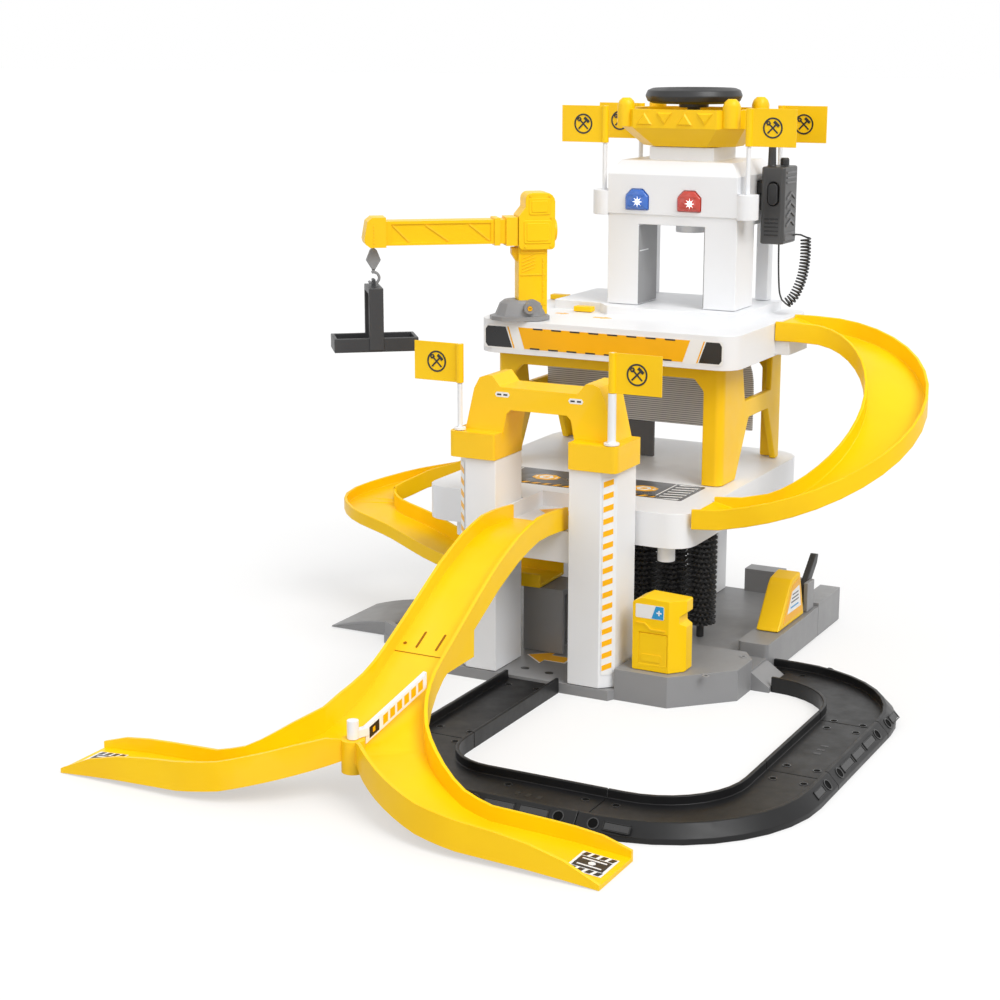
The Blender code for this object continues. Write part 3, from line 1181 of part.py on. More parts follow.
def make_cradle(x):
    """Black car cradle: a tray hung in a hoop, with a lug for the hook."""
    y = CRANE_Y
    half_length, half, bar = TRAY_LENGTH / 2, TRAY_WIDTH / 2, CRADLE_BAR / 2
    wall = 2 * MM
    tray = block((x - half_length, x + half_length), (y - half, y + half),
                 (TRAY_BOTTOM, TRAY_BOTTOM + TRAY_HEIGHT))
    carve(tray, block((x - half_length + wall, x + half_length - wall), (y - half + wall, y + half - wall),
                      (TRAY_BOTTOM + wall, TRAY_BOTTOM + 20 * MM)))
    hoop = block((x - bar, x + bar), (y - half - 1 * MM, y + half + 1 * MM),
                 (TRAY_BOTTOM + 1 * MM, CRADLE_TOP))
    carve(hoop, block((x - 2 * bar, x + 2 * bar), (y - half + wall, y + half - wall),
                      (TRAY_BOTTOM - 1 * MM, CRADLE_TOP - 3.5 * MM)))
    eye_low = HOOK_Z - HOOK_RADIUS - 0.6 * MM
    eye_high = HOOK_Z - HOOK_RADIUS + HOOK_THICKNESS + 0.6 * MM
    lug = block((x - 0.9 * MM, x + 0.9 * MM), (y - 3.6 * MM, y + 3.6 * MM),
                (CRADLE_TOP - 2 * MM, eye_high + 1.5 * MM))
    carve(lug, block((x - 4 * MM, x + 4 * MM), (y - 1.5 * MM, y + 1.5 * MM), (eye_low, eye_high)))
    fuse(tray, hoop, lug)
    finish(slewed(tray), "cradle", BLACK, slewed_point(x, y, HOOK_Z - HOOK_RADIUS + HOOK_THICKNESS))


def make_flag(name, x, y, low, top, side, radius, foot):
    """One flag on its white pole; a pole on the gate has a disc for a foot."""
    pole = rod(x, y, radius, low + TOUCH, top - FLAG_HEIGHT - TOUCH, 12)
    fuse(pole, rod(x, y, POLE_RADIUS * 0.7, top - FLAG_HEIGHT - 2 * MM, top, 12))
    if foot:
        fuse(pole, rod(x, y, radius + 2 * MM, low + TOUCH, low + 1.6 * MM, 16))
    finish(pole, "pole_" + name, WHITE)
    span = sorted((x, x + side * FLAG_LENGTH))
    sheet = block(span, (y - FLAG_THICKNESS / 2, y + FLAG_THICKNESS / 2), (top - FLAG_HEIGHT, top))
    fuse(sheet, rod(x, y, POLE_RADIUS + 0.8 * MM, top - FLAG_HEIGHT, top, 12))
    bore = POLE_RADIUS * 0.7 + 0.1 * MM
    carve(sheet, rod(x, y, bore, top - FLAG_HEIGHT - 1 * MM, top + 1 * MM, 12))
    finish(sheet, "flag_" + name, YELLOW)


def make_flags():
    """Six flags: four in the tower's sockets and two on the gate."""
    left = TOWER_X - TOWER_WIDTH / 2 - SOCKET_OUT
    right = TOWER_X + TOWER_WIDTH / 2 + SOCKET_OUT
    for row, y in zip(("front", "back"), FLAG_ROWS):
        for name, x, side in (("left", left, -1), ("right", right, 1)):
            make_flag("tower_" + row + "_" + name, x, y, SOCKET_Z + 3 * MM, TOWER_FLAG_TOP, side,
                      POLE_RADIUS, False)
    low = COLUMN_TOP + ARCH_BOX
    make_flag("gate_left", -GATE_FLAG_X, GATE_FLAG_Y, low, 194 * MM, -1, POLE_RADIUS, True)
    make_flag("gate_right", GATE_FLAG_X, GATE_FLAG_Y, low, 196 * MM, 1, 2.3 * MM, True)


def make_handset():
    """Walkie-talkie handset with talk button, volume knob and aerial, hung on the tower's side."""
    x, y, z = HANDSET_LOW
    width, depth, height = HANDSET_SIZE
    outline = rounded(rectangle((x, x + width), (y, y + depth)), 2 * MM, 2)
    body = prism(outline, z, z + height)
    aerial = turned([(2.6 * MM, z + height - 1 * MM), (2.4 * MM, z + height + 6 * MM),
                     (2 * MM, z + height + 22 * MM)],
                    x + 5 * MM, y + 5 * MM, 12)
    clip = block((TOWER_X + TOWER_WIDTH / 2 - 2 * MM, x + 1 * MM),
                 (HANDSET_SLOT_Y[0] + TOUCH, HANDSET_SLOT_Y[1] - TOUCH),
                 (HANDSET_SLOT_Z[0] + TOUCH, HANDSET_SLOT_Z[1] - TOUCH))
    fuse(body, aerial, clip)
    button_x, button_z = x + 8 * MM, z + height - 16 * MM
    oval = rounded(rectangle((button_x - 3 * MM, button_x + 3 * MM),
                             (button_z - 6.5 * MM, button_z + 6.5 * MM)), 2.9 * MM, 4)
    pocket = rounded(rectangle((button_x - 3.3 * MM, button_x + 3.3 * MM),
                               (button_z - 6.8 * MM, button_z + 6.8 * MM)), 3.1 * MM, 4)
    carve(body, prism(pocket, y - 1 * MM, y + 3 * MM, "Y"))
    finish(body, "handset", BLACK)
    finish(prism(oval, y - 1 * MM, y + 1.7 * MM, "Y"), "talk_button", BLACK, (button_x, y, button_z))
    knob_x, knob_y = x + width - 4.5 * MM, y + 12 * MM
    knob = turned([(2.8 * MM, z + height + TOUCH), (2.8 * MM, z + height + 4 * MM),
                   (2.2 * MM, z + height + 5 * MM)],
                  knob_x, knob_y, 12)
    finish(knob, "volume_knob", BLACK, (knob_x, knob_y, z + height))


def cord_points():
    """List the handset cord's points: a plain lead, the curls along the coil's axis, a plain lead."""
    axis = smooth_curve(COIL_AXIS, 40)
    run = path_lengths(axis)
    points_per_curl = 8
    total = CURL_COUNT * points_per_curl
    curls = []
    for step in range(total + 1):
        at = run[-1] * step / total
        index = min(int(np.searchsorted(run, at, side="right")) - 1, len(axis) - 2)
        part = (at - run[index]) / (run[index + 1] - run[index])
        centre = axis[index] + (axis[index + 1] - axis[index]) * part
        along = Vector(axis[index + 1] - axis[index]).normalized()
        side = Vector((0, 1, 0)).cross(along).normalized()
        up = along.cross(side)
        angle = math.tau * step / points_per_curl
        ease = min(1, step / 6, (total - step) / 6)
        reach = CURL_RADIUS / MM * ease
        offset = side * math.cos(angle) * reach + up * math.sin(angle) * reach
        curls.append(np.array(centre) + np.array(offset))
    start = smooth_curve(CORD_START, 3)
    end = smooth_curve(CORD_END, 4)
    return [Vector(p) * MM for p in list(start) + curls + list(end)]


def make_cord():
    """Curly handset cord as one tube."""
    points = cord_points()
    curve = bpy.data.curves.new("handset_cord", "CURVE")
    curve.dimensions = "3D"
    curve.bevel_depth = CORD_RADIUS
    curve.bevel_resolution = 1
    curve.use_fill_caps = True
    spline = curve.splines.new("POLY")
    spline.points.add(len(points) - 1)
    for knot, point in zip(spline.points, points):
        knot.co = (*point, 1)
    cord = bpy.data.objects.new("handset_cord", curve)
    bpy.context.scene.collection.objects.link(cord)
    curve.materials.append(material_of(RUBBER))
    least = least_self_gap(points)
    print("handset cord least self gap in mm", round(least / MM, 2))
    return cord


def least_self_gap(points):
    """Measure the least gap between stretches of the cord that lie more than a quarter curl apart."""
    array = np.array([tuple(p) for p in points])
    run = np.array(path_lengths(array))
    least = 1.0
    for index, point in enumerate(array):
        apart = run - run[index] > 6 * CORD_RADIUS
        if apart.any():
            least = min(least, float(np.linalg.norm(array[apart] - point, axis=1).min()))
    return least - 2 * CORD_RADIUS


def make_brushes():
    """Three car wash rollers whose cores carry rows of short bristles."""
    low = WASH_FLOOR_TOP + 8 * MM
    high = LOWER_DECK_TOP - SKIRT - 4 * MM
    for index, x in enumerate(BRUSH_XS):
        brush = bristle_core(x, BRUSH_Y, low, high)
        name = "wash_brush_" + "abc"[index]
        finish(brush, name, RUBBER, (x, BRUSH_Y, low))


def bristle_core(x, y, low, high):
    """Build a roller as rings of faces and push every second face of every second row out."""
    sides = BRISTLES_ROUND * 2
    rows = BRISTLE_ROWS * 2 + 1
    shape = bmesh.new()
    pin = 2.2 * MM
    pin_low = WASH_FLOOR_TOP + TOUCH
    pin_high = LOWER_DECK_TOP - SKIRT - TOUCH
    heights = [low + (high - low) * i / rows for i in range(rows + 1)]
    rings = [(pin, pin_low), (pin, low)] + [(BRUSH_RADIUS, z) for z in heights] + [(pin, high),
                                                                                   (pin, pin_high)]
    levels = [[shape.verts.new((px, py, z)) for px, py in circle(x, y, radius, sides)] for radius, z in rings]
    bristles = []
    for level, (lower, upper) in enumerate(zip(levels, levels[1:])):
        for side in range(sides):
            following = (side + 1) % sides
            face = shape.faces.new((lower[side], lower[following], upper[following], upper[side]))
            row = level - 2
            if 0 <= row < rows and row % 2 == 1 and side % 2 == row // 2 % 2:
                bristles.append(face)
    shape.faces.new(list(reversed(levels[0])))
    shape.faces.new(levels[-1])
    out = bmesh.ops.extrude_discrete_faces(shape, faces=bristles)["faces"]
    for face in out:
        centre = face.calc_center_median()
        away = Vector((centre.x - x, centre.y - y, 0)).normalized() * BRISTLE_LENGTH
        for vertex in face.verts:
            vertex.co = centre + (vertex.co - centre) * 0.75 + away
    return to_object(shape)


def make_pump():
    """Yellow fuel pump with a slanted top, and its black nozzle in the grey holder."""
    low = ISLAND_TOP + TOUCH
    outline = [(43 * MM, low), (88 * MM, low), (79 * MM, low + 29 * MM), (65 * MM, low + 27 * MM),
               (61 * MM, low + 23.5 * MM)]
    finish(prism(outline, 96 * MM, 110.5 * MM, "X"), "fuel_pump", YELLOW)
    x = 106 * MM
    holder = block((x - 5 * MM, x + 5 * MM), (92 * MM, 104 * MM), (low, low + 18 * MM))
    carve(holder, block((x - 2.3 * MM, x + 2.3 * MM), (91 * MM, 105 * MM), (low + 4 * MM, low + 30 * MM)))
    finish(holder, "nozzle_holder", GREY)
    nozzle_outline = [(96 * MM, low + 4.3 * MM), (100.5 * MM, low + 4.3 * MM), (104 * MM, low + 13 * MM),
                      (117 * MM, low + 25 * MM), (119 * MM, low + 30 * MM), (115 * MM, low + 31 * MM),
                      (101 * MM, low + 19 * MM), (96.5 * MM, low + 12 * MM)]
    nozzle = prism(nozzle_outline, x - 2 * MM, x + 2 * MM, "X")
    finish(nozzle, "fuel_nozzle", BLACK)


def make_fuel_can():
    """Yellow fuel can with a stepped neck and a recessed front."""
    low = PLATFORM_TOP + TOUCH
    x0, x1 = 58.5 * MM, 87.5 * MM
    outline = rounded([(x0, low), (x1, low), (x1, low + 26 * MM), (x1 - 3 * MM, low + 28 * MM),
                       (x1 - 3 * MM, low + 32 * MM), (x1, low + 34 * MM), (x1, low + 41 * MM),
                       (x0 + 6 * MM, low + 42 * MM), (x0, low + 39 * MM)], 1 * MM, 2)
    can = prism(outline, -51 * MM, -34 * MM, "Y")
    carve(can, prism([(79.5 * MM, -52 * MM), (89 * MM, -52 * MM), (89 * MM, -41 * MM)], low - 1 * MM,
                     low + 50 * MM))
    carve(can, block((x0 + 4 * MM, x1 - 8 * MM), (-52 * MM, -50 * MM), (low + 4 * MM, low + 22 * MM)))
    finish(can, "fuel_can", YELLOW)


def make_exit_ramp():
    """Grey exit ramp against the base's left edge."""
    x = BASE_LEFT - TOUCH
    steps = 6
    crest = [(x - 4 * MM - 41 * MM * i / steps,
              9.5 * MM - 8 * MM * (i / steps) ** 1.7) for i in range(steps + 1)]
    outline = [(x, 3 * MM), (x, 8.5 * MM)] + crest + [(x - 46 * MM, 0.4 * MM), (x - 6 * MM, 0.4 * MM)]
    flap = prism(outline, -14 * MM, 40 * MM, "Y")
    finish(flap, "exit_ramp", GREY)


def make_back_plate():
    """Dark grey plate that stands under the door panel."""
    plate = block((-34 * MM, -0.5 * MM), (DOOR_REAR - DOOR_THICKNESS, DOOR_REAR + 1 * MM),
                  (LOWER_DECK_TOP + TOUCH, DOOR_BOTTOM - TOUCH))
    finish(plate, "back_plate", GREY)


def make_clips():
    """Yellow snap clips on the upper deck's left side."""
    for name, x, y in (("clip_front", -38 * MM, 86 * MM), ("clip_left", -76 * MM, 130 * MM)):
        clip = block((x - 6 * MM, x + 6 * MM), (y - 3 * MM, y + 3 * MM),
                     (UPPER_DECK_TOP + TOUCH, UPPER_DECK_TOP + 3.5 * MM))
        finish(clip, name, YELLOW)


def main():
    """Build every piece of the garage."""
    clear_scene()
    make_base()
    make_columns()
    make_piers()
    make_lower_deck()
    make_gate_arch()
    make_building()
    make_door_panel()
    make_upper_deck()
    make_tower()
    make_lenses()
    make_crown()
    make_wheel()
    make_right_ramp()
    make_left_ramp()
    make_front_ramp()
    make_diverter()
    make_track()
    make_crane()
    make_flags()
    make_handset()
    make_cord()
    make_brushes()
    make_pump()
    make_fuel_can()
    make_exit_ramp()
    make_back_plate()
    make_clips()


main()
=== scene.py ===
"""Looks of the toy parking garage: moulded plastics, stickers, flags, small relief, light and camera.

The frame is in metres: X to the right along the gate, Y to the back, Z up. Details are drawn in
millimetres on the faces that carry them.
"""

import math

import bmesh
import bpy
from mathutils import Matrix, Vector


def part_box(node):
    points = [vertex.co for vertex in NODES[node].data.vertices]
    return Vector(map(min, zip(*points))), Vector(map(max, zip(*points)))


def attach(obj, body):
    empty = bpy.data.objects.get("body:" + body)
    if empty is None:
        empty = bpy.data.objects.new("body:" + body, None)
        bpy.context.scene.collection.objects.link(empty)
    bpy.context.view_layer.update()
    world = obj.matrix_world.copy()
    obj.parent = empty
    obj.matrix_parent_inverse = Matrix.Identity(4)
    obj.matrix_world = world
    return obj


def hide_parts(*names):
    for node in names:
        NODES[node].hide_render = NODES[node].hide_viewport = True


MM = 0.001

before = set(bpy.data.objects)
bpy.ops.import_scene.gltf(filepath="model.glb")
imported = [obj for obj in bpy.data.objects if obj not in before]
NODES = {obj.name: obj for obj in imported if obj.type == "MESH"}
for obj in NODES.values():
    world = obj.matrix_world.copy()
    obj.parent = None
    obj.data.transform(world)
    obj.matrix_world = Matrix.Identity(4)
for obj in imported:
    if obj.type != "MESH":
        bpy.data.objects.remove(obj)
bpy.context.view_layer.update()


def low_of(name):
    """Give a node's lowest corner in millimetres."""
    return Vector(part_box(name)[0]) / MM


def high_of(name):
    """Give a node's highest corner in millimetres."""
    return Vector(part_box(name)[1]) / MM


# Camera at the photograph's place
CAMERA_PLACE = (0.479, -1.0028, 0.3624)
CAMERA_TURN = math.radians(27.88)
CAMERA_RISE = math.radians(13.42)
CAMERA_LENS = 70.34
CAMERA_SENSOR = 36


def make_camera():
    """Set up the camera, turned about the set and raised over it."""
    data = bpy.data.cameras.new("camera")
    data.lens = CAMERA_LENS
    data.sensor_width = CAMERA_SENSOR
    data.dof.use_dof = False
    camera = bpy.data.objects.new("camera", data)
    bpy.context.scene.collection.objects.link(camera)
    back = Vector((
        math.sin(CAMERA_TURN) * math.cos(CAMERA_RISE),
        -math.cos(CAMERA_TURN) * math.cos(CAMERA_RISE),
        math.sin(CAMERA_RISE),
    ))
    camera.location = CAMERA_PLACE
    camera.rotation_euler = back.to_track_quat("Z", "Y").to_euler()
    bpy.context.scene.camera = camera


# Materials: noise scales, in waves a metre, and how they mix
DRIFT_NOISE = 22
SMUDGE_NOISE = 90
GRAIN_NOISE = 1500
SMUDGE_HEIGHT = 0.35
GRAIN_DEPTH = 0.1 * MM
WORN_GREY = 0.9
WORN_PART = 0.35
# Part of the colour kept in the grooves between ribs: painted shade.
RIB_SHADE = 0.3
RIB_HEIGHT = 3


def texture(tree, place, scale, detail, roughness=0.5):
    """Add a noise texture in the frame's own coordinates and return its value."""
    node = tree.nodes.new("ShaderNodeTexNoise")
    node.inputs["Scale"].default_value = scale
    node.inputs["Detail"].default_value = detail
    node.inputs["Roughness"].default_value = roughness
    tree.links.new(place, node.inputs["Vector"])
    return node.outputs["Fac"]


def mapped(tree, value, low, high, to_low, to_high):
    """Map a value from one range to another, clamped."""
    node = tree.nodes.new("ShaderNodeMapRange")
    for socket, number in zip(("From Min", "From Max", "To Min", "To Max"), (low, high, to_low, to_high)):
        node.inputs[socket].default_value = number
    tree.links.new(value, node.inputs["Value"])
    return node.outputs["Result"]


def mixed(tree, factor, first, second):
    """Mix two colours, each a tuple or a socket, by a factor socket."""
    node = tree.nodes.new("ShaderNodeMix")
    node.data_type = "RGBA"
    tree.links.new(factor, node.inputs["Factor"])
    for name, colour in (("A", first), ("B", second)):
        socket = next(s for s in node.inputs if s.name == name and s.type == "RGBA")
        if isinstance(colour, tuple):
            socket.default_value = (*colour, 1)
        else:
            tree.links.new(colour, socket)
    return next(s for s in node.outputs if s.type == "RGBA")


def level_ribs(tree, place, pitch):
    """Return a value that is 0 in the grooves between level ribs and 1 on the ribs."""
    wave = tree.nodes.new("ShaderNodeTexWave")
    wave.bands_direction = "Z"
    wave.inputs["Scale"].default_value = math.tau / (20 * pitch * MM)
    tree.links.new(place, wave.inputs["Vector"])
    return mapped(tree, wave.outputs["Fac"], 0.1, 0.5, 0, 1)


def plastic(name, colour, roughness, drift=0.05, wear=0.2, grain=0.12, gloss_drift=0.07, shine=0.5, rib=0):
    """Make a moulded plastic: colour drift, fine grain, paler worn edges, uneven gloss, ribs with painted
    shade in their grooves if asked.
    """
    material = bpy.data.materials.new(name)
    material.use_nodes = True
    tree = material.node_tree
    shader = tree.nodes["Principled BSDF"]
    shader.inputs["Specular IOR Level"].default_value = shine
    place = tree.nodes.new("ShaderNodeTexCoord").outputs["Object"]
    slow = texture(tree, place, DRIFT_NOISE, 3)
    smudge = texture(tree, place, SMUDGE_NOISE, 5, 0.6)
    relief = texture(tree, place, GRAIN_NOISE, 2)
    darker = tuple(c * (1 - drift) for c in colour)
    paler = tuple(min(c * (1 + drift), 1) for c in colour)
    body = mixed(tree, mapped(tree, slow, 0.35, 0.65, 0, 1), darker, paler)
    edge = tree.nodes.new("ShaderNodeNewGeometry").outputs["Pointiness"]
    worn = tuple(c + (WORN_GREY - c) * WORN_PART for c in colour)
    body = mixed(tree, mapped(tree, edge, 0.53, 0.62, 0, wear), body, worn)
    if rib:
        ribs = level_ribs(tree, place, rib)
        # Darker grooves between the ribs: painted shade.
        body = mixed(tree, ribs, tuple(c * RIB_SHADE for c in colour), body)
        relief = mapped(tree, ribs, 0, 1, 0, RIB_HEIGHT)
    tree.links.new(body, shader.inputs["Base Color"])
    rough = mapped(tree, smudge, 0.3, 0.7, roughness - gloss_drift, roughness + gloss_drift)
    tree.links.new(rough, shader.inputs["Roughness"])
    height = tree.nodes.new("ShaderNodeMath")
    height.operation = "MULTIPLY_ADD"
    height.inputs[1].default_value = SMUDGE_HEIGHT
    tree.links.new(smudge, height.inputs[0])
    tree.links.new(relief, height.inputs[2])
    bump = tree.nodes.new("ShaderNodeBump")
    bump.inputs["Strength"].default_value = grain
    bump.inputs["Distance"].default_value = GRAIN_DEPTH
    tree.links.new(height.outputs[0], bump.inputs["Height"])
    tree.links.new(bump.outputs["Normal"], shader.inputs["Normal"])
    return material


def lens(name, colour, glow, strength=0.2):
    """Make a warning lens: coloured, glossy, and glowing a little as a painted glow, with no lamp in it."""
    material = plastic(name, colour, 0.12, wear=0, grain=0.02, gloss_drift=0.03)
    shader = material.node_tree.nodes["Principled BSDF"]
    shader.inputs["Emission Color"].default_value = (*glow, 1)
    shader.inputs["Emission Strength"].default_value = strength
    shader.inputs["Coat Weight"].default_value = 0.6
    return material


YELLOW = plastic("yellow_moulding", (1.0, 0.6, 0.001), 0.38, drift=0.04, wear=0.05, shine=0.28)
WHITE = plastic("white_moulding", (0.83, 0.84, 0.86), 0.4, drift=0.012, wear=0.03)
GREY = plastic("grey_moulding", (0.25, 0.25, 0.255), 0.45, wear=0.25)
DARK = plastic("dark_grey_moulding", (0.075, 0.075, 0.078), 0.5)
BLACK = plastic("black_moulding", (0.016, 0.016, 0.017), 0.42, wear=0.1)
TRACK = plastic("track_moulding", (0.007, 0.007, 0.0075), 0.38, wear=0.03, shine=0.32)
SLOPE = plastic("track_panel", (0.02, 0.02, 0.021), 0.24, wear=0.03, shine=0.6)
# Dark amber: painted shade in the ramp's slots, and the colour of its seam line.
SHADE = plastic("painted_slot_shade_and_seam", (0.3, 0.12, 0.002), 0.6, wear=0, shine=0.2)
RUBBER = plastic("soft_black", (0.02, 0.02, 0.021), 0.5, wear=0.1)
# Pale grey for the handset's side relief: a painted highlight.
RELIEF_HIGHLIGHT = plastic("handset_relief_highlight", (0.11, 0.11, 0.115), 0.36)
INK = plastic("sticker_black", (0.012, 0.012, 0.013), 0.32, wear=0, grain=0.03)
PAPER = plastic("sticker_white", (0.86, 0.86, 0.85), 0.32, drift=0.01, wear=0, grain=0.03)
ORANGE = plastic("sticker_orange", (0.95, 0.46, 0.002), 0.34, wear=0, grain=0.03, shine=0.3)
PIT = plastic("socket_shade", (0.002, 0.002, 0.002), 0.7, wear=0, shine=0.1)
STEEL_INK = plastic("sticker_grey", (0.09, 0.09, 0.095), 0.32, wear=0, grain=0.03)
SKY = plastic("sticker_blue", (0.02, 0.3, 0.62), 0.32, wear=0, grain=0.03)
# Both warning lenses glow a little: a painted glow, not a lamp.
BLUE_LENS = lens("blue_lens", (0.02, 0.1, 0.4), (0.05, 0.2, 0.7))
RED_LENS = lens("red_lens", (0.42, 0.03, 0.015), (0.7, 0.06, 0.03))
# A white glowing star on each lens: a painted glint.
PAINTED_GLINT = lens("painted_glint", (0.9, 0.9, 0.9), (1.0, 1.0, 1.0), 1.2)

FINISH = {
    "yellow_plastic": YELLOW,
    "white_plastic": WHITE,
    "grey_plastic": GREY,
    "black_plastic": BLACK,
    "blue_lens": BLUE_LENS,
    "red_lens": RED_LENS,
    "black_rubber": RUBBER,
}
OWN_FINISH = {
    "back_plate": DARK,
    "handset": plastic("handset_moulding", (0.03, 0.03, 0.031), 0.36, wear=0.3),
    # The door is coloured darker than the white moulding, and darker still in its grooves: painted shade.
    "door_panel": plastic("ribbed_door_painted_shade", (0.62, 0.61, 0.6), 0.42, drift=0.02, wear=0, rib=1.3),
    "cradle": plastic("cradle_moulding", (0.03, 0.03, 0.032), 0.45, wear=0.05),
}

# Edges: the usual radius, the radius of the pieces that differ, and the pieces that aren't rounded
EDGE = 0.45 * MM
OWN_EDGE = {
    "gate_arch": 0.9 * MM,
    "building_frame": 0.8 * MM,
    "upper_deck": 0.8 * MM,
    "lower_deck": 0.8 * MM,
    "base": 0.6 * MM,
    "tower_crown": 0.9 * MM,
    "fuel_can": 0.3 * MM,
    "ramp_front": 0.3 * MM,
    "fuel_pump": 1.3 * MM,
    "handset": 1.1 * MM,
    "exit_ramp": 0.7 * MM,
}
PLAIN_EDGES = ("handset_cord", "wash_brush_a", "wash_brush_b", "wash_brush_c")
# Pieces with features finer than their edge radius, which limit it there
FINE = ("base", "gate_arch", "tower_crown", "ramp_front", "lower_deck", "upper_deck", "crane_boom",
        "crane_turret", "diverter_arm", "flag_", "pole_")
SAME_POINT = 0.01 * MM
FLAT_ANGLE = math.radians(0.4)
SHARP_ANGLE = math.radians(30)


def weld_points(item):
    """Join the points that a solid's facets share."""
    item.modifiers.new("weld", "WELD").merge_threshold = SAME_POINT


def round_edges(item, width):
    """Round the sharp edges of a piece and return the modifier."""
    bevel = item.modifiers.new("edge", "BEVEL")
    bevel.width = width
    bevel.segments = 2
    bevel.limit_method = "ANGLE"
    bevel.angle_limit = SHARP_ANGLE
    bevel.harden_normals = True
    return bevel


def soften(item, width, tight):
    """Join a moulding's flat facets and round its edges, less where there is no room if tight."""
    weld_points(item)
    flat = item.modifiers.new("flat", "DECIMATE")
    flat.decimate_type = "DISSOLVE"
    flat.angle_limit = FLAT_ANGLE
    bevel = round_edges(item, width)
    bevel.use_clamp_overlap = tight
    bevel.miter_outer = "MITER_ARC"


def dress_nodes():
    """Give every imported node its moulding, soft edges and smooth shading."""
    for name, item in NODES.items():
        mesh = item.data
        slot = mesh.materials[0].name.split(".")[0]
        finish = OWN_FINISH.get(name, FINISH[slot])
        mesh.materials[0] = TRACK if name.startswith("track_") else finish
        custom = mesh.attributes.get("custom_normal")
        if custom is not None:
            mesh.attributes.remove(custom)
        mesh.shade_smooth()
        if name in PLAIN_EDGES:
            weld_points(item)
        else:
            soften(item, OWN_EDGE.get(name, EDGE), name.startswith(FINE))
        item.modifiers.new("normals", "WEIGHTED_NORMAL")


# Flat details: the heights of stickers, dark inlays and printed marks, and the faces that carry them
STICKER_MM = 0.12
INLAY_MM = 0.1
MARK_MM = 0.08
FACES = {
    "front": ((1, 0, 0), (0, 0, 1)),
    "back": ((-1, 0, 0), (0, 0, 1)),
    "right": ((0, 1, 0), (0, 0, 1)),
    "left": ((0, -1, 0), (0, 0, 1)),
    "top": ((1, 0, 0), (0, 1, 0)),
}


def layer(number, base=0.0):
    """Give the lower and upper height of a sticker's layer over its face; the first layer is 0."""
    return base + number * STICKER_MM, base + (number + 1) * STICKER_MM


def make_piece(name, shape, materials, body):
    """Turn a shape into a named piece, let it ride on its body and give it its materials."""
    mesh = bpy.data.meshes.new(name)
    bmesh.ops.recalc_face_normals(shape, faces=shape.faces)
    shape.to_mesh(mesh)
    shape.free()
    for material in materials:
        mesh.materials.append(material)
    piece = bpy.data.objects.new(name, mesh)
    bpy.context.scene.collection.objects.link(piece)
    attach(piece, body)
    return piece


class Detail:
    """Closed flat plates on one face, in millimetres along and up it, joined into one named piece."""

    def __init__(self, face, place):
        """Take a face name or its two directions, and a point of the face in millimetres."""
        across, up = FACES[face] if isinstance(face, str) else face
        self.across = Vector(across).normalized()
        self.up = Vector(up).normalized()
        self.out = self.across.cross(self.up)
        self.place = Vector(place)
        self.shape = bmesh.new()
        self.materials = []

    def point(self, u, v, w):
        """Add the point at a place on the face and a height over it."""
        return self.shape.verts.new((self.place + self.across * u + self.up * v + self.out * w) * MM)

    def face(self, points, material):
        """Add a face of one material."""
        if material not in self.materials:
            self.materials.append(material)
        self.shape.faces.new(points).material_index = self.materials.index(material)

    def band(self, lower, upper, material):
        """Join two closed rows of points by faces."""
        for index in range(len(lower)):
            following = (index + 1) % len(lower)
            self.face((lower[index], lower[following], upper[following], upper[index]), material)

    def plate(self, outline, material, low=0.0, high=STICKER_MM, shrink=0.0):
        """Add one closed plate between two heights over the face, its top drawn in by a part of its size."""
        points = [Vector(point) for point in outline]
        area = sum(a.x * b.y - b.x * a.y for a, b in zip(points, points[1:] + points[:1]))
        if area < 0:
            points.reverse()
        middle = sum(points, Vector((0, 0))) / len(points)
        tops = [middle + (point - middle) * (1 - shrink) for point in points]
        lower = [self.point(p.x, p.y, low) for p in points]
        upper = [self.point(p.x, p.y, high) for p in tops]
        self.face(list(reversed(lower)), material)
        self.face(upper, material)
        self.band(lower, upper, material)

    def ring(self, u, v, inner, outer, material, low=0.0, high=STICKER_MM, count=28):
        """Add a flat ring."""
        levels = []
        for radius, height in ((outer, low), (outer, high), (inner, high), (inner, low)):
            levels.append([self.point(a, b, height) for a, b in disc(u, v, radius, count)])
        for first, second in zip(levels, levels[1:] + levels[:1]):
            self.band(first, second, material)

    def done(self, name, body, slot, edge=0.0):
        """Make the piece, its edges rounded if a radius in millimetres is given."""
        piece = make_piece(name, self.shape, self.materials, body)
        if edge:
            round_edges(piece, edge * MM)
            piece.data.shade_smooth()


# Outlines, as lists of points
def oblong(u0, v0, u1, v1, radius=0.0, steps=4):
    """List an upright rectangle's outline, its corners rounded."""
    if radius == 0:
        return [(u0, v0), (u1, v0), (u1, v1), (u0, v1)]
    points = []
    for cu, cv, start in ((u1 - radius, v0 + radius, -90), (u1 - radius, v1 - radius, 0),
                          (u0 + radius, v1 - radius, 90), (u0 + radius, v0 + radius, 180)):
        for step in range(steps + 1):
            angle = math.radians(start + 90 * step / steps)
            points.append((cu + radius * math.cos(angle), cv + radius * math.sin(angle)))
    return points


def slanted(u, v0, v1, width, lean):
    """List a leaning stripe's outline: its low left corner at u, its top shifted by lean."""
    return [(u, v0), (u + width, v0), (u + width + lean, v1), (u + lean, v1)]


def disc(u, v, radius, count=20, start=0.0, squeeze=1.0):
    """List a circle's or regular polygon's outline, its height squeezed."""
    angles = [start + math.tau * i / count for i in range(count)]
    return [(u + radius * math.cos(angle), v + squeeze * radius * math.sin(angle)) for angle in angles]


def star(u, v, inner, outer, rays, turn=0.0):
    """List a star's outline."""
    points = []
    for index in range(2 * rays):
        radius = outer if index % 2 == 0 else inner
        angle = turn + math.pi * index / rays
        points.append((u + radius * math.cos(angle), v + radius * math.sin(angle)))
    return points


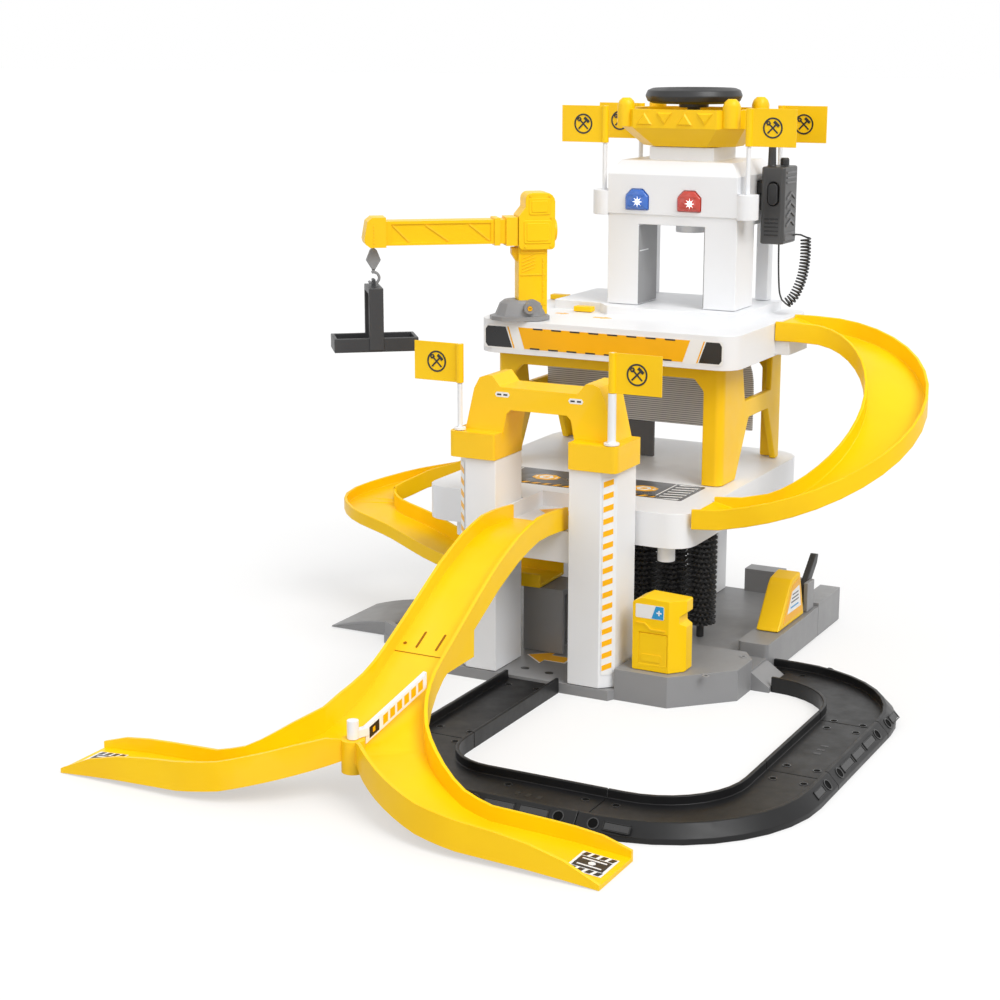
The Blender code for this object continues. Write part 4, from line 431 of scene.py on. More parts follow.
def turned(outline, u, v, degrees):
    """Turn an outline about a point."""
    c, s = math.cos(math.radians(degrees)), math.sin(math.radians(degrees))
    return [(u + (a - u) * c - (b - v) * s, v + (a - u) * s + (b - v) * c) for a, b in outline]


def bar(start, end, width):
    """List the outline of a straight bar between two points."""
    along = (Vector(end) - Vector(start)).normalized() * width / 2
    side = Vector((-along.y, along.x))
    return [Vector(start) - side, Vector(end) - side, Vector(end) + side, Vector(start) + side]


def arrow(u, v, length, width, degrees):
    """List a broad arrow's outline that points along its turn."""
    half = width / 2
    shaft = half * 0.45
    shape = [(-length / 2, -shaft), (0, -shaft), (0, -half), (length / 2, 0), (0, half), (0, shaft),
             (-length / 2, shaft)]
    return turned([(u + a, v + b) for a, b in shape], u, v, degrees)


# Stickers of the storeys and the gate
FASCIA_BOTTOM = 177.8
FASCIA_TOP = 192.2
FASCIA_RIM = 0.8
DASH_HEIGHT = 0.9
ARCH_SETBACK = 9.5
ARCH_SIGN_Z = 166.4
STRIPE_COUNT = 16
STRIPE_PITCH = 7
STRIPE_HEIGHT = 3.1
GROUND_TOP = 6
LEDGE_TOP = 93
ROOF_TOP = 195
ARROWS = {
    "ledge": (LEDGE_TOP, [(-6, -16, 22, 20, 180)]),
    "ground": (GROUND_TOP, [(-8, -22, 25, 21, 180)]),
    "roof": (ROOF_TOP, [(-16, 66, 12, 7, 0), (-46, 72, 9, 6, 0)]),
}


def fascia_sticker():
    """Orange band with dashes between two black windows, along the upper deck's front."""
    item = Detail("front", (0, low_of("upper_deck").y, 0))
    bottom, top = FASCIA_BOTTOM + FASCIA_RIM, FASCIA_TOP - FASCIA_RIM
    item.plate(oblong(-78, FASCIA_BOTTOM, 76.5, FASCIA_TOP, 2.5), PAPER)
    item.plate([(-50.8, bottom), (51.5, bottom), (56, top), (-55, top)], ORANGE, *layer(1))
    for outer, cut, inner, lean in ((-77, 1.5, -59, -4.5), (75.5, -1.5, 61.5, 4.5)):
        window = [(outer, FASCIA_BOTTOM + 3), (outer + cut, FASCIA_BOTTOM + 1), (inner, FASCIA_BOTTOM + 1),
                  (inner + lean, FASCIA_TOP - 1), (outer + cut, FASCIA_TOP - 1), (outer, FASCIA_TOP - 3)]
        item.plate(window, INK, *layer(1))
    for u, width, lean in ((-58.2, 0.9, -4.2), (60, 0.8, 4.4)):
        item.plate(slanted(u, bottom, top, width, lean), ORANGE, *layer(1))
    for index in range(8):
        u = -45 + index * 12.2
        item.plate(oblong(u, top - DASH_HEIGHT, u + 6.4, top), INK, *layer(2))
        item.plate(oblong(u - 2, bottom, u + 4.4, bottom + DASH_HEIGHT), INK, *layer(2))
    item.done("sticker_fascia", "garage", "yellow_plastic")


def arch_stickers():
    """White dash signs on the gate arch's front."""
    item = Detail("front", (0, low_of("gate_arch").y + ARCH_SETBACK, 0))
    v = ARCH_SIGN_Z
    for u in (-22.5, 23):
        sign = [(u - 4.6, v), (u - 3.6, v - 1.4), (u + 3.6, v - 1.4), (u + 4.6, v), (u + 3.6, v + 1.5),
                (u - 3.6, v + 1.5)]
        item.plate(sign, PAPER)
        item.plate(oblong(u - 3.2, v - 0.4, u - 0.6, v + 0.5), INK, *layer(1))
        item.plate(oblong(u + 0.8, v - 0.4, u + 3.2, v + 0.5), INK, *layer(1))
    item.done("sticker_arch", "garage", "white_plastic")


def column_stripes():
    """Orange and white stripes down the gate columns' outer chamfers."""
    for name, turn, place, lean in (("right", 1, (42, -60, 0), 1.6), ("left", -1, (-49, -53, 0), -1.6)):
        item = Detail(((1, turn, 0), (0, 0, 1)), place)
        item.plate(oblong(1.6, 14, 8.3, 127), PAPER)
        for index in range(STRIPE_COUNT):
            v = 16.5 + index * STRIPE_PITCH
            stripe = [(2, v), (7.9, v + lean), (7.9, v + lean + STRIPE_HEIGHT), (2, v + STRIPE_HEIGHT)]
            item.plate(stripe, ORANGE, *layer(1))
        item.done("sticker_column_" + name, "garage", "yellow_plastic")


def octagon_emblem(item, u, v, size, first):
    """Draw a plain octagon sign with a nut and two bars on it, in two layers from the first."""
    item.plate(disc(u, v, size, 8, math.pi / 8, 0.8), ORANGE, *layer(first))
    item.ring(u, v, size * 0.28, size * 0.52, PAPER, *layer(first + 1), 6)
    for side in (-1, 1):
        middle = u + side * size * 0.72
        item.plate(oblong(middle - 0.5, v - 1.6, middle + 0.5, v + 1.6), PAPER, *layer(first + 1))


def lower_deck_sticker():
    """Grey parking sheet with a hazard edge, two signs and a hatched corner."""
    item = Detail("top", (0, 0, high_of("lower_deck").z))
    item.plate(oblong(-61.5, 7.5, 61.5, 46.5, 1.5), STEEL_INK)
    item.plate(oblong(-60, 8.4, 44, 12.2), ORANGE, *layer(1))
    for index in range(15):
        item.plate(slanted(-60 + index * 7, 8.4, 12.2, 3.2, 2.6), INK, *layer(2))
    item.plate(oblong(46, 8.4, 59, 45), PAPER, *layer(1))
    for index in range(6):
        v = 8.4 + index * 6
        item.plate([(46, v), (59, v + 3), (59, v + 6), (46, v + 3)], INK, *layer(2))
    for u in (-34, 30):
        octagon_emblem(item, u, 27, 9, 1)
    for u in (-59, 43):
        item.plate(oblong(u, 14, u + 0.8, 45), PAPER, *layer(1))
    item.done("sticker_lower_deck", "garage", "grey_plastic")


def floor_arrows():
    """Orange arrows with white rims on the ledge, the ground floor and the upper deck."""
    for name, (level, places) in ARROWS.items():
        item = Detail("top", (0, 0, level))
        for u, v, length, width, turn in places:
            item.plate(arrow(u, v, length + 2.4, width + 2.2, turn), PAPER)
            item.plate(arrow(u, v, length, width, turn), ORANGE, *layer(1))
        item.done("sticker_arrow_" + name, "garage", "yellow_plastic")


# Flag signs
FLAG_HALF = 0.5
SIGN_RADIUS = 6.1
SIGN_SHIFT = 1.2


def crossed_tools(item, u, v, size):
    """Draw a generic sign: crossed spanner and hammer in a ring, each bar a little higher than the last."""
    item.ring(u, v, size * 0.84, size, INK)
    for side in (-1, 1):
        foot = (u - side * size * 0.5, v - size * 0.5)
        head = (u + side * size * 0.42, v + size * 0.42)
        item.plate(bar(foot, head, size * 0.15), INK, 0, (1.5 + side * 0.5) * STICKER_MM)
    hammer = bar((u + size * 0.12, v + size * 0.62), (u + size * 0.62, v + size * 0.16), size * 0.27)
    item.plate(hammer, INK, 0, 2.5 * STICKER_MM)
    item.ring(u - size * 0.44, v + size * 0.44, size * 0.11, size * 0.24, INK, 0, 2.5 * STICKER_MM, 6)


def flag_signs():
    """Print the tool sign on both sides of every flag, off its middle and away from the pole."""
    for name in sorted(NODES):
        if not name.startswith("flag_"):
            continue
        middle = (low_of(name) + high_of(name)) / 2
        for face, side in (("front", -1), ("back", 1)):
            item = Detail(face, (middle.x, middle.y + side * FLAG_HALF, middle.z))
            shift = SIGN_SHIFT if ("right" in name) == (face == "front") else -SIGN_SHIFT
            crossed_tools(item, shift, 0, SIGN_RADIUS)
            item.done("sign_" + name.removeprefix("flag_") + "_" + face, "garage", "black_plastic")


# Front ramp and diverter arm
TRUNK_PLACE = (0, -173.5, 59.7)
TRUNK_RISE = 0.525
TIP_X = 149.5
TIP_Y = -270
TIP_ROAD_Z = 2.32
TIP_RISE = 0.0793
ARM_PIVOT = Vector((0, -249, 0))
ARM_TURN = math.radians(69)
ARM_RISE = 0.5236
ARM_ROOT = 6.8
ARM_ROOT_Z = 27.5
ARM_HALF = 1.2


def ramp_details():
    """Slots and a seam in the trunk's road, the slots drawn as dark plates of painted shade, and the checked
    signs on both tips.
    """
    item = Detail(((1, 0, 0), (0, 1, TRUNK_RISE)), TRUNK_PLACE)
    for u in (-5.5, 6):
        # Dark plates where the slots are: painted shade.
        item.plate(oblong(u - 0.6, -6, u + 0.6, 6, 0.5), SHADE)
    item.plate(disc(-13, -4, 1), SHADE)
    item.plate(oblong(-16, -10.4, 16, -10), SHADE)
    item.done("ramp_slots", "garage", "yellow_plastic")
    for name, side in (("left", -1), ("right", 1)):
        item = Detail(((1, 0, -TIP_RISE * side), (0, 1, 0)), (TIP_X * side, TIP_Y, TIP_ROAD_Z))
        left, right = sorted((side * -21, side * -3))
        item.plate(oblong(left, -10, right, 10), PAPER)
        for index in range(4):
            u = left + 1 + index * 4.3
            for v in (-9.5, 6.1):
                item.plate(slanted(u, v, v + 3.4, 2.6, 0.8), INK, *layer(1))
        item.plate(oblong(left + 1.4, -5.4, right - 1.4, 5.4), INK, *layer(1))
        for v in (-3.6, 2.6):
            item.plate(oblong(left + 3, v, right - 3, v + 1), PAPER, *layer(2))
        item.plate(disc((left + right) / 2, 0, 1.9, 6), PAPER, *layer(2))
        item.done("sticker_tip_" + name, "garage", "black_plastic")


def arm_patch(item, side, span, heights, material, number):
    """Add one patch of the arm's sticker, which leans with the arm, over a span along it."""
    corners = [(span[0], heights[0]), (span[1], heights[0]), (span[1], heights[1]), (span[0], heights[1])]
    points = [(side * u, ARM_ROOT_Z + (u - ARM_ROOT) * ARM_RISE + v) for u, v in corners]
    item.plate(points, material, *layer(number))


def arm_sticker():
    """Orange patches and one black patch on a white strip, along both sides of the diverter arm."""
    along = Vector((math.cos(ARM_TURN), math.sin(ARM_TURN), 0))
    normal = Vector((along.y, -along.x, 0))
    for name, side in (("front", 1), ("back", -1)):
        item = Detail((along * side, (0, 0, 1)), ARM_PIVOT + normal * side * ARM_HALF)
        arm_patch(item, side, (8, 44.2), (0.9, 7.3), PAPER, 0)
        arm_patch(item, side, (9, 15), (1.3, 6.9), INK, 1)
        arm_patch(item, side, (11, 12.4), (3, 5.4), ORANGE, 2)
        for index in range(6):
            start = 17.4 + index * 4.4
            arm_patch(item, side, (start, start + 3), (1.7, 6.5), ORANGE, 1)
        item.done("sticker_arm_" + name, "diverter", "yellow_plastic")


# Track: its slope's width and height over a low edge, and the details on the slope and in the road
SLOPE_WIDTH = 5.5
SLOPE_HEIGHT = 6
TRACK_EDGE = 3
TRACK_ROAD = 4.5
SOCKET_V = 4
POCKET_LOW = 1.8
POCKET_HIGH = 6.4
POCKET_RIM = 0.5
RELIEF = 0.35
# Direction of each side, its sockets' radius, and where its sockets and pockets are along it
TRACK_SIDES = {
    "front": ((1, 0), 3, (50, 58, 103, 121),
              ((24, 45), (63, 80), (82, 98), (126, 140))),
    "right": ((0, 1), 3, (-137, -119, -57, -38),
              ((-154, -142), (-114, -98), (-96, -80), (-78, -62), (-33, -22))),
    "rear": ((-1, 0), 2.1, (-146,), ((-140, -128),)),
    "left": ((0, -1), 2.1, (84, 152, 168), ((92, 116), (122, 146))),
}
# Groups of holes in the road: the places across and the places along each group
ROAD_HOLES = (
    ((-8, 10), (-72, -150, -166)),
    ((104, 120), (-206, -222)),
    ((174, 190), (-138, -118, -56, -44)),
    ((134,), (6, 20)),
    ((62,), (-206, -222)),
)


def socket(item, u, radius):
    """Add a shallow round socket to a slope: a dark disc in a low rim."""
    item.ring(u, SOCKET_V, radius * 0.8, radius, SLOPE, 0, RELIEF)
    item.plate(disc(u, SOCKET_V, radius * 0.8), PIT, 0, INLAY_MM)


def pocket(item, start, end):
    """Add a panel with a low rectangular rim to a slope."""
    inset = POCKET_RIM + 0.2
    item.plate(oblong(start + inset, POCKET_LOW + inset, end - inset, POCKET_HIGH - inset), SLOPE)
    for v in (POCKET_LOW, POCKET_HIGH - POCKET_RIM):
        item.plate(oblong(start, v, end, v + POCKET_RIM), TRACK, 0, RELIEF)
    for u in (start, end - POCKET_RIM):
        item.plate(oblong(u, POCKET_LOW, u + POCKET_RIM, POCKET_HIGH), TRACK, 0, RELIEF)


def track_details():
    """Sockets and pockets on the track's outer slopes, small holes and marks in its road."""
    corners = {
        "front": (0, low_of("track_corner_left").y, TRACK_EDGE),
        "right": (high_of("track_side").x, 0, TRACK_EDGE),
        "rear": (0, high_of("track_corner_rear").y, TRACK_EDGE),
        "left": (low_of("track_entry").x, 0, TRACK_EDGE),
    }
    for name, ((x, y), radius, sockets, pockets) in TRACK_SIDES.items():
        slope = (-y * SLOPE_WIDTH, x * SLOPE_WIDTH, SLOPE_HEIGHT)
        item = Detail(((x, y, 0), slope), corners[name])
        for u in sockets:
            socket(item, u, radius)
        for start, end in pockets:
            pocket(item, start, end)
        item.done("track_sockets_" + name, "garage", "black_plastic")
    item = Detail("top", (0, 0, TRACK_ROAD))
    for across, along in ROAD_HOLES:
        for v in along:
            for u in across:
                item.ring(u, v, 1.7, 2.2, SLOPE, 0, 0.2, 18)
                item.plate(disc(u, v, 1.7, 18), PIT, 0, MARK_MM)
    for u in (70, 76, 82):
        item.plate(oblong(u, -216, u + 2.4, -212), INK, 0, MARK_MM)
    for v in (-96, -90, -84):
        item.plate(oblong(180, v, 184, v + 2.4), INK, 0, MARK_MM)
    item.done("track_holes", "garage", "black_plastic")


# Crane: its axis, the boom's direction, and each part's half depth
CRANE_PLACE = Vector((-58.8, 38.4, 0))
CRANE_TURN = math.radians(38)
CRANE_ALONG = Vector((math.cos(CRANE_TURN), math.sin(CRANE_TURN), 0))
CRANE_SIDE = Vector((CRANE_ALONG.y, -CRANE_ALONG.x, 0))
BOOM_HALF = {1: 5.8, -1: 6.5}
CAP_HALF = 8
HEAD_HALF = 9
MAST_HALF = 6.5
TURRET_FRONT = 13
RIB_TOP = 253
RIB_BOTTOM = 243.4


def crane_face(sign, depth):
    """Start a detail on the crane's front or back face, at a depth from its middle."""
    return Detail((CRANE_ALONG * sign, (0, 0, 1)), CRANE_PLACE + CRANE_SIDE * sign * depth)


def boom_details(name, sign):
    """Slanting ribs on the boom and a row of dots on its end cap."""
    item = crane_face(sign, BOOM_HALF[sign])
    for start, end in ((-76.5, -67), (-57, -43.5), (-31, -19)):
        item.plate(bar((start * sign, RIB_TOP), (end * sign, RIB_BOTTOM), 0.9), YELLOW, 0, 0.6)
    item.done("boom_ribs_" + name, "crane", "yellow_plastic")
    item = crane_face(sign, CAP_HALF)
    for index in range(6):
        item.plate(disc(-88 * sign, 243 + index * 2, 0.45, 8), YELLOW, 0, 0.4)
    item.done("boom_dots_" + name, "crane", "yellow_plastic")


def head_details(name, sign):
    """Two raised panels and five screws on the crane's head."""
    item = crane_face(sign, HEAD_HALF)
    for u0, v0, u1, v1 in ((4, 258, 17, 268), (1, 241, 18, 255)):
        left, right = sorted((u0 * sign, u1 * sign))
        item.plate(oblong(left, v0, right, v1, 1.2), YELLOW, 0, 0.5, 0.04)
        item.plate(oblong(left + 1.6, v0 + 1.6, right - 1.6, v1 - 1.6, 0.8), YELLOW, 0.5, 0.9, 0.05)
    for u, v in ((2, 239.4), (17.6, 239.4), (17.6, 256.5), (5, 269.4), (16.5, 269.4)):
        item.plate(disc(u * sign, v, 0.8, 12), YELLOW, 0, 0.6)
    item.done("crane_head_relief_" + name, "crane", "yellow_plastic", 0.15)


def mast_details(name, sign):
    """Level ribs, a hatch of slanting ribs and a toothed edge on the crane's mast."""
    item = crane_face(sign, MAST_HALF)
    left, right = sorted((-0.6 * sign, 15 * sign))
    for v in (204, 222, 235):
        item.plate(oblong(left, v, right, v + 0.9), YELLOW, 0, 0.5)
    for index in range(5):
        v = 224 + index * 2
        item.plate(bar((left + 1, v), (left + 9, v + 3), 0.5), YELLOW, 0, 0.4)
    edge = right - 2.2 if sign == 1 else left + 1
    for index in range(9):
        v = 201.5 + index * 3.6
        item.plate(oblong(edge, v, edge + 1.1, v + 2.3), YELLOW, 0, 0.5)
    item.done("mast_relief_" + name, "crane", "yellow_plastic", 0.1)


def crane_details():
    """Relief on both faces of the crane, and the screw in its turret."""
    for name, sign in (("front", 1), ("back", -1)):
        boom_details(name, sign)
        head_details(name, sign)
        mast_details(name, sign)
    item = crane_face(1, TURRET_FRONT)
    item.ring(4, 203, 1.6, 3.4, GREY, -4, 0.6, 20)
    item.plate(disc(4, 203, 1.6, 6), ORANGE, -4, 0.9)
    item.plate(bar((3.1, 203), (4.9, 203), 0.4), INK, 0.9, 1)
    item.done("turret_screw", "crane", "grey_plastic", 0.12)


# Tower: its middle, the half width of its head, and the half width between its legs' inner faces
TOWER_MIDDLE = (low_of("tower_crown") + high_of("tower_crown")) / 2
TOWER_HALF = 42
LEG_HALF = 21.5


def tower_details():
    """Grey plates of painted shade with a line inside the legs, slots in the head's sides as grey inlays of
    painted shade, triangles on the crown.
    """
    for name, face, side in (("left", "right", -1), ("right", "left", 1)):
        item = Detail(face, (TOWER_MIDDLE.x + side * LEG_HALF, 0, 0))
        near, far = sorted((-91.2 * side, -118.6 * side))
        # A grey plate on each leg's inner face: painted shade.
        item.plate(oblong(near, 201.5, far, 249.2, 0.6), GREY, 0, 0.35)
        item.plate(oblong(near + 1, 233.4, (near + far) / 2, 234.1), WHITE, 0.35, 0.6)
        item.done("tower_inner_shade_" + name, "garage", "grey_plastic")
    for name, side in (("right", 1), ("left", -1)):
        item = Detail(name, (TOWER_MIDDLE.x + side * TOWER_HALF, 0, 0))
        for y in (128, 140):
            near, far = sorted((y * side, (y + 3) * side))
            # Grey inlays where the slots are: painted shade.
            item.plate(oblong(near, 258, far, 272, 1.2), GREY, 0, INLAY_MM)
        item.done("tower_slots_" + name, "garage", "grey_plastic")
    for name, y in (("front", low_of("tower_crown").y), ("back", high_of("tower_crown").y)):
        item = Detail(name, (TOWER_MIDDLE.x, y, 0))
        for index in range(4):
            u = -19.5 + index * 13
            base, tip = (309.2, 316.8) if index % 2 == 0 else (316.8, 309.2)
            item.plate([(u - 5.4, base), (u + 5.4, base), (u, tip)], YELLOW, 0, 1.1, 0.3)
        item.done("crown_triangles_" + name, "garage", "yellow_plastic", 0.15)


def shaft_cover():
    """White cover over the wheel shaft's lower end, under the tower's head."""
    item = Detail("top", (TOWER_MIDDLE.x, TOWER_MIDDLE.y, 0))
    item.ring(0, 0, 8.5, 9.4, WHITE, 244.4, 249.9, 32)
    item.plate(disc(0, 0, 9.4, 32), WHITE, 243.8, 244.4)
    item.done("shaft_cover", "garage", "white_plastic", 0.2)


def lens_fronts():
    """Facet, two ridges and a glowing star of painted glint on both warning lenses."""
    for name, material, slot in (("lens_blue", BLUE_LENS, "blue_lens"), ("lens_red", RED_LENS, "red_lens")):
        low, high = low_of(name), high_of(name)
        item = Detail("front", ((low.x + high.x) / 2, low.y, (low.z + high.z) / 2))
        item.plate(disc(0, 0, 3.6, 6), material, 0, 0.8, 0.35)
        for v in (2.4, -3.4):
            item.plate(oblong(-5.6, v, 5.6, v + 0.7), material, 0, 0.4)
        # Two white glowing stars over the lens: a painted glint.
        item.plate(star(1.6, -1.2, 0.9, 3.4, 8), PAINTED_GLINT, 0.8, 0.9)
        item.plate(star(1.6, -1.2, 0.8, 1.9, 8, 0.4), PAINTED_GLINT, 0.8, 0.98)
        item.done(name + "_front", "garage", slot, 0.12)


def handset_details():
    """Zigzag relief and grooves on the handset's side, paler than the handset as a painted highlight, and a
    grille on its front.
    """
    item = Detail("right", (high_of("handset").x, 0, 0))
    for index in range(4):
        v = 249 + index * 5.4
        zigzag = [(122, v), (129, v + 3.4), (136, v), (136, v + 1.7), (129, v + 5.1), (122, v + 1.7)]
        # The relief is paler than the handset: a painted highlight.
        item.plate(zigzag, RELIEF_HIGHLIGHT, 0, 0.7, 0.05)
    for v in (275, 278, 281):
        item.plate(oblong(121, v, 137, v + 1.2, 0.5), RELIEF_HIGHLIGHT, 0, 0.5)
    item.plate(oblong(119.4, 241, 138.6, 246, 1.2), RELIEF_HIGHLIGHT, 0, 0.5, 0.06)
    item.done("handset_relief", "handset", "black_plastic", 0.15)
    item = Detail("front", (0, low_of("handset").y, 0))
    for index in range(5):
        v = 244 + index * 2.4
        item.plate(oblong(66.5, v, 75.5, v + 1.1, 0.5), INK, 0, 0.3)
    item.done("handset_grille", "handset", "black_plastic", 0.1)


# Fuel corner and ground floor
CAN_FRONT = low_of("fuel_can").y
CAN_PANEL_Y = CAN_FRONT + 1
PANEL_HEIGHT = 0.2
PLATFORM_TOP = 18


def fuel_can_details():
    """Bare label, shoulder line and front panel of the fuel can."""
    item = Detail("front", (0, CAN_FRONT, 0))
    item.plate(oblong(60.4, 48.6, 77.4, 56.4, 0.8), PAPER)
    item.plate([(70, 48.9), (77.1, 48.9), (77.1, 56.1), (72.5, 56.1)], SKY, *layer(1))
    item.plate(bar((73, 52.4), (76, 52.4), 0.8), PAPER, *layer(2))
    item.plate(bar((74.5, 50.9), (74.5, 53.9), 0.8), PAPER, 2 * STICKER_MM, 2.8 * STICKER_MM)
    shoulder = ((60.8, 45.6), (66, 45.6), (69.5, 42.4), (78.2, 42.4))
    for start, end in zip(shoulder, shoulder[1:]):
        item.plate(bar(start, end, 0.7), YELLOW, 0, 0.5)
    item.done("fuel_can_label", "fuel_can", "white_plastic")
    item = Detail("front", (0, CAN_PANEL_Y, 0))
    item.plate(oblong(62.65, 22.2, 79.35, 39.9, 0.8), YELLOW, 0, 0.85)
    item.plate(oblong(64, 23.6, 76, 28, 1), YELLOW, 0.85, 1.15)
    item.done("fuel_can_front", "fuel_can", "yellow_plastic", 0.12)


def pump_details():
    """Orange panel with a bare label on the pump's side, and a mark on the nozzle holder."""
    item = Detail("right", (high_of("fuel_pump").x, 0, 0))
    item.plate([(50.5, 23.5), (84.5, 23.5), (77.8, 46), (66, 44.2), (62.6, 41)], ORANGE, 0, PANEL_HEIGHT)
    item.plate([(57, 28), (80.6, 28), (76.6, 41.6), (64.6, 40.2)], PAPER, *layer(0, PANEL_HEIGHT))
    item.plate([(62, 30.2), (76, 30.2), (75.4, 31.2), (62.6, 31.2)], SKY, *layer(1, PANEL_HEIGHT))
    for v, u0, u1 in ((33.4, 63, 76), (35.6, 64, 75.4), (37.8, 65, 75)):
        item.plate(oblong(u0, v, u1, v + 0.8), STEEL_INK, *layer(1, PANEL_HEIGHT))
    item.done("pump_panel", "garage", "yellow_plastic")
    item = Detail("front", (0, low_of("nozzle_holder").y, 0))
    item.plate(oblong(102.4, 24, 103.6, 36), ORANGE)
    item.done("holder_label", "garage", "grey_plastic")


def ground_details():
    """Oval holes and kerb lines of the gate floor, screws of the platform; the holes and the screws' middles
    are dark discs of painted shade.
    """
    item = Detail("top", (0, 0, GROUND_TOP))
    for u, v in ((-11.2, -45.3), (5.1, -46.9)):
        # Dark ovals where the holes are: painted shade.
        item.plate(disc(u, v, 2.6, 20, 0, 0.8), INK)
    for u in (-15, -9, 9, 15):
        item.plate(oblong(u - 0.5, 0, u + 0.5, 38, 0.4), GREY, 0, 0.6)
    item.done("floor_holes", "garage", "grey_plastic")
    item = Detail("top", (0, 0, PLATFORM_TOP))
    for u, v in ((100, -44), (106, -2)):
        item.ring(u, v, 1.1, 2, GREY, 0, 0.5, 16)
        # A dark disc in each screw's hollow: painted shade.
        item.plate(disc(u, v, 1.1, 12), INK, 0, INLAY_MM)
    item.done("platform_holes", "garage", "grey_plastic")


# Brushes
BRUSH_Y = 41
BRUSH_BOTTOM = 20
BRUSH_TOP = 78
PIN_RADIUS = 2.2
CORE_RADIUS = 5.6
BRISTLE_REACH = 9.2
BRISTLE_ROWS = 19
BRISTLES_ROUND = 18
# Radius and half width of each section of a bristle, from its root to its tip
BRISTLE_SECTIONS = ((CORE_RADIUS - 0.3, 0.85), (BRISTLE_REACH - 0.4, 0.6), (BRISTLE_REACH, 0.4))


def closed_body(shape, rings):
    """Join rings of points into one closed body."""
    rings = [[shape.verts.new(point * MM) for point in ring] for ring in rings]
    for lower, upper in zip(rings, rings[1:]):
        for index in range(len(lower)):
            following = (index + 1) % len(lower)
            shape.faces.new((lower[index], lower[following], upper[following], upper[index]))
    shape.faces.new(list(reversed(rings[0])))
    shape.faces.new(rings[-1])


def circle(x, y, z, radius, count=32):
    """List the points of a level circle."""
    turn = [math.tau * i / count for i in range(count)]
    return [Vector((x + radius * math.cos(t), y + radius * math.sin(t), z)) for t in turn]


def bristle(shape, root, angle):
    """Add one short blunt bristle that stands out from the brush's axis."""
    out = Vector((math.cos(angle), math.sin(angle), 0))
    side = Vector((-out.y, out.x, 0))
    up = Vector((0, 0, 1))
    rings = []
    for radius, half in BRISTLE_SECTIONS:
        middle = root + out * radius
        corners = ((-half, -half), (half, -half), (half, half), (-half, half))
        rings.append([middle + side * a + up * b for a, b in corners])
    closed_body(shape, rings)


def brush(letter):
    """Replace one roller by a core with dense short bristles in rows."""
    name = "wash_brush_" + letter
    low, high = low_of(name), high_of(name)
    x = (low.x + high.x) / 2
    profile = [(PIN_RADIUS, low.z), (PIN_RADIUS, BRUSH_BOTTOM), (CORE_RADIUS, BRUSH_BOTTOM),
               (CORE_RADIUS, BRUSH_TOP), (PIN_RADIUS, BRUSH_TOP), (PIN_RADIUS, high.z)]
    shape = bmesh.new()
    closed_body(shape, [circle(x, BRUSH_Y, z, radius) for radius, z in profile])
    pitch = (BRUSH_TOP - BRUSH_BOTTOM) / BRISTLE_ROWS
    for row in range(BRISTLE_ROWS):
        root = Vector((x, BRUSH_Y, BRUSH_BOTTOM + pitch * (row + 0.5)))
        for place in range(BRISTLES_ROUND):
            bristle(shape, root, math.tau * (place + 0.5 * (row % 2)) / BRISTLES_ROUND)
    piece = make_piece("bristles_" + letter, shape, [RUBBER], "brush_" + letter)
    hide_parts(name)


# Handset cord: a plain lead, the curls along the coil's axis, a plain lead
CORD_RADIUS = 0.55
CURL_RADIUS = 2.8
CURL_COUNT = 21.5
POINTS_PER_CURL = 14
FIRST_CURL_TURN = 0.25
LEAST_STEP = 0.15 * MM
CORD_START = [(78.2, 133.9, 242.7), (80, 134.6, 243.8), (83, 136.6, 243.6)]
COIL_AXIS = [(86.8, 135, 242), (87, 134.8, 230), (85.6, 134, 218), (81.6, 132.6, 207), (77.2, 131, 202)]
CORD_END = [(75.2, 128.1, 204.6), (73.4, 128.4, 210), (72.4, 128.5, 224), (72, 128.6, 239.4)]


def smooth_line(points, steps):
    """Run a smooth curve through the points."""
    points = [Vector(point) for point in points]
    padded = [points[0] * 2 - points[1]] + points + [points[-1] * 2 - points[-2]]
    line = []
    for index in range(1, len(padded) - 2):
        a, b, c, d = padded[index - 1:index + 3]
        for step in range(steps):
            t = step / steps
            line.append(0.5 * ((b * 2) + (c - a) * t + (a * 2 - b * 5 + c * 4 - d) * t * t
                               + (b * 3 - a - c * 3 + d) * t * t * t))
    line.append(points[-1])
    return line


def curls():
    """List the points of the curls, evenly spaced along the coil's axis."""
    axis = smooth_line(COIL_AXIS, 40)
    run = [0.0]
    for first, second in zip(axis, axis[1:]):
        run.append(run[-1] + (second - first).length)
    total = round(CURL_COUNT * POINTS_PER_CURL)
    points = []
    index = 0
    for step in range(total + 1):
        reach = run[-1] * step / total
        while index < len(axis) - 2 and run[index + 1] < reach:
            index += 1
        part = (reach - run[index]) / (run[index + 1] - run[index])
        along = (axis[index + 1] - axis[index]).normalized()
        side = Vector((0, 1, 0)).cross(along).normalized()
        up = along.cross(side)
        angle = math.tau * (step / POINTS_PER_CURL + FIRST_CURL_TURN)
        offset = (side * math.cos(angle) + up * math.sin(angle)) * CURL_RADIUS
        points.append(axis[index].lerp(axis[index + 1], part) + offset)
    return points


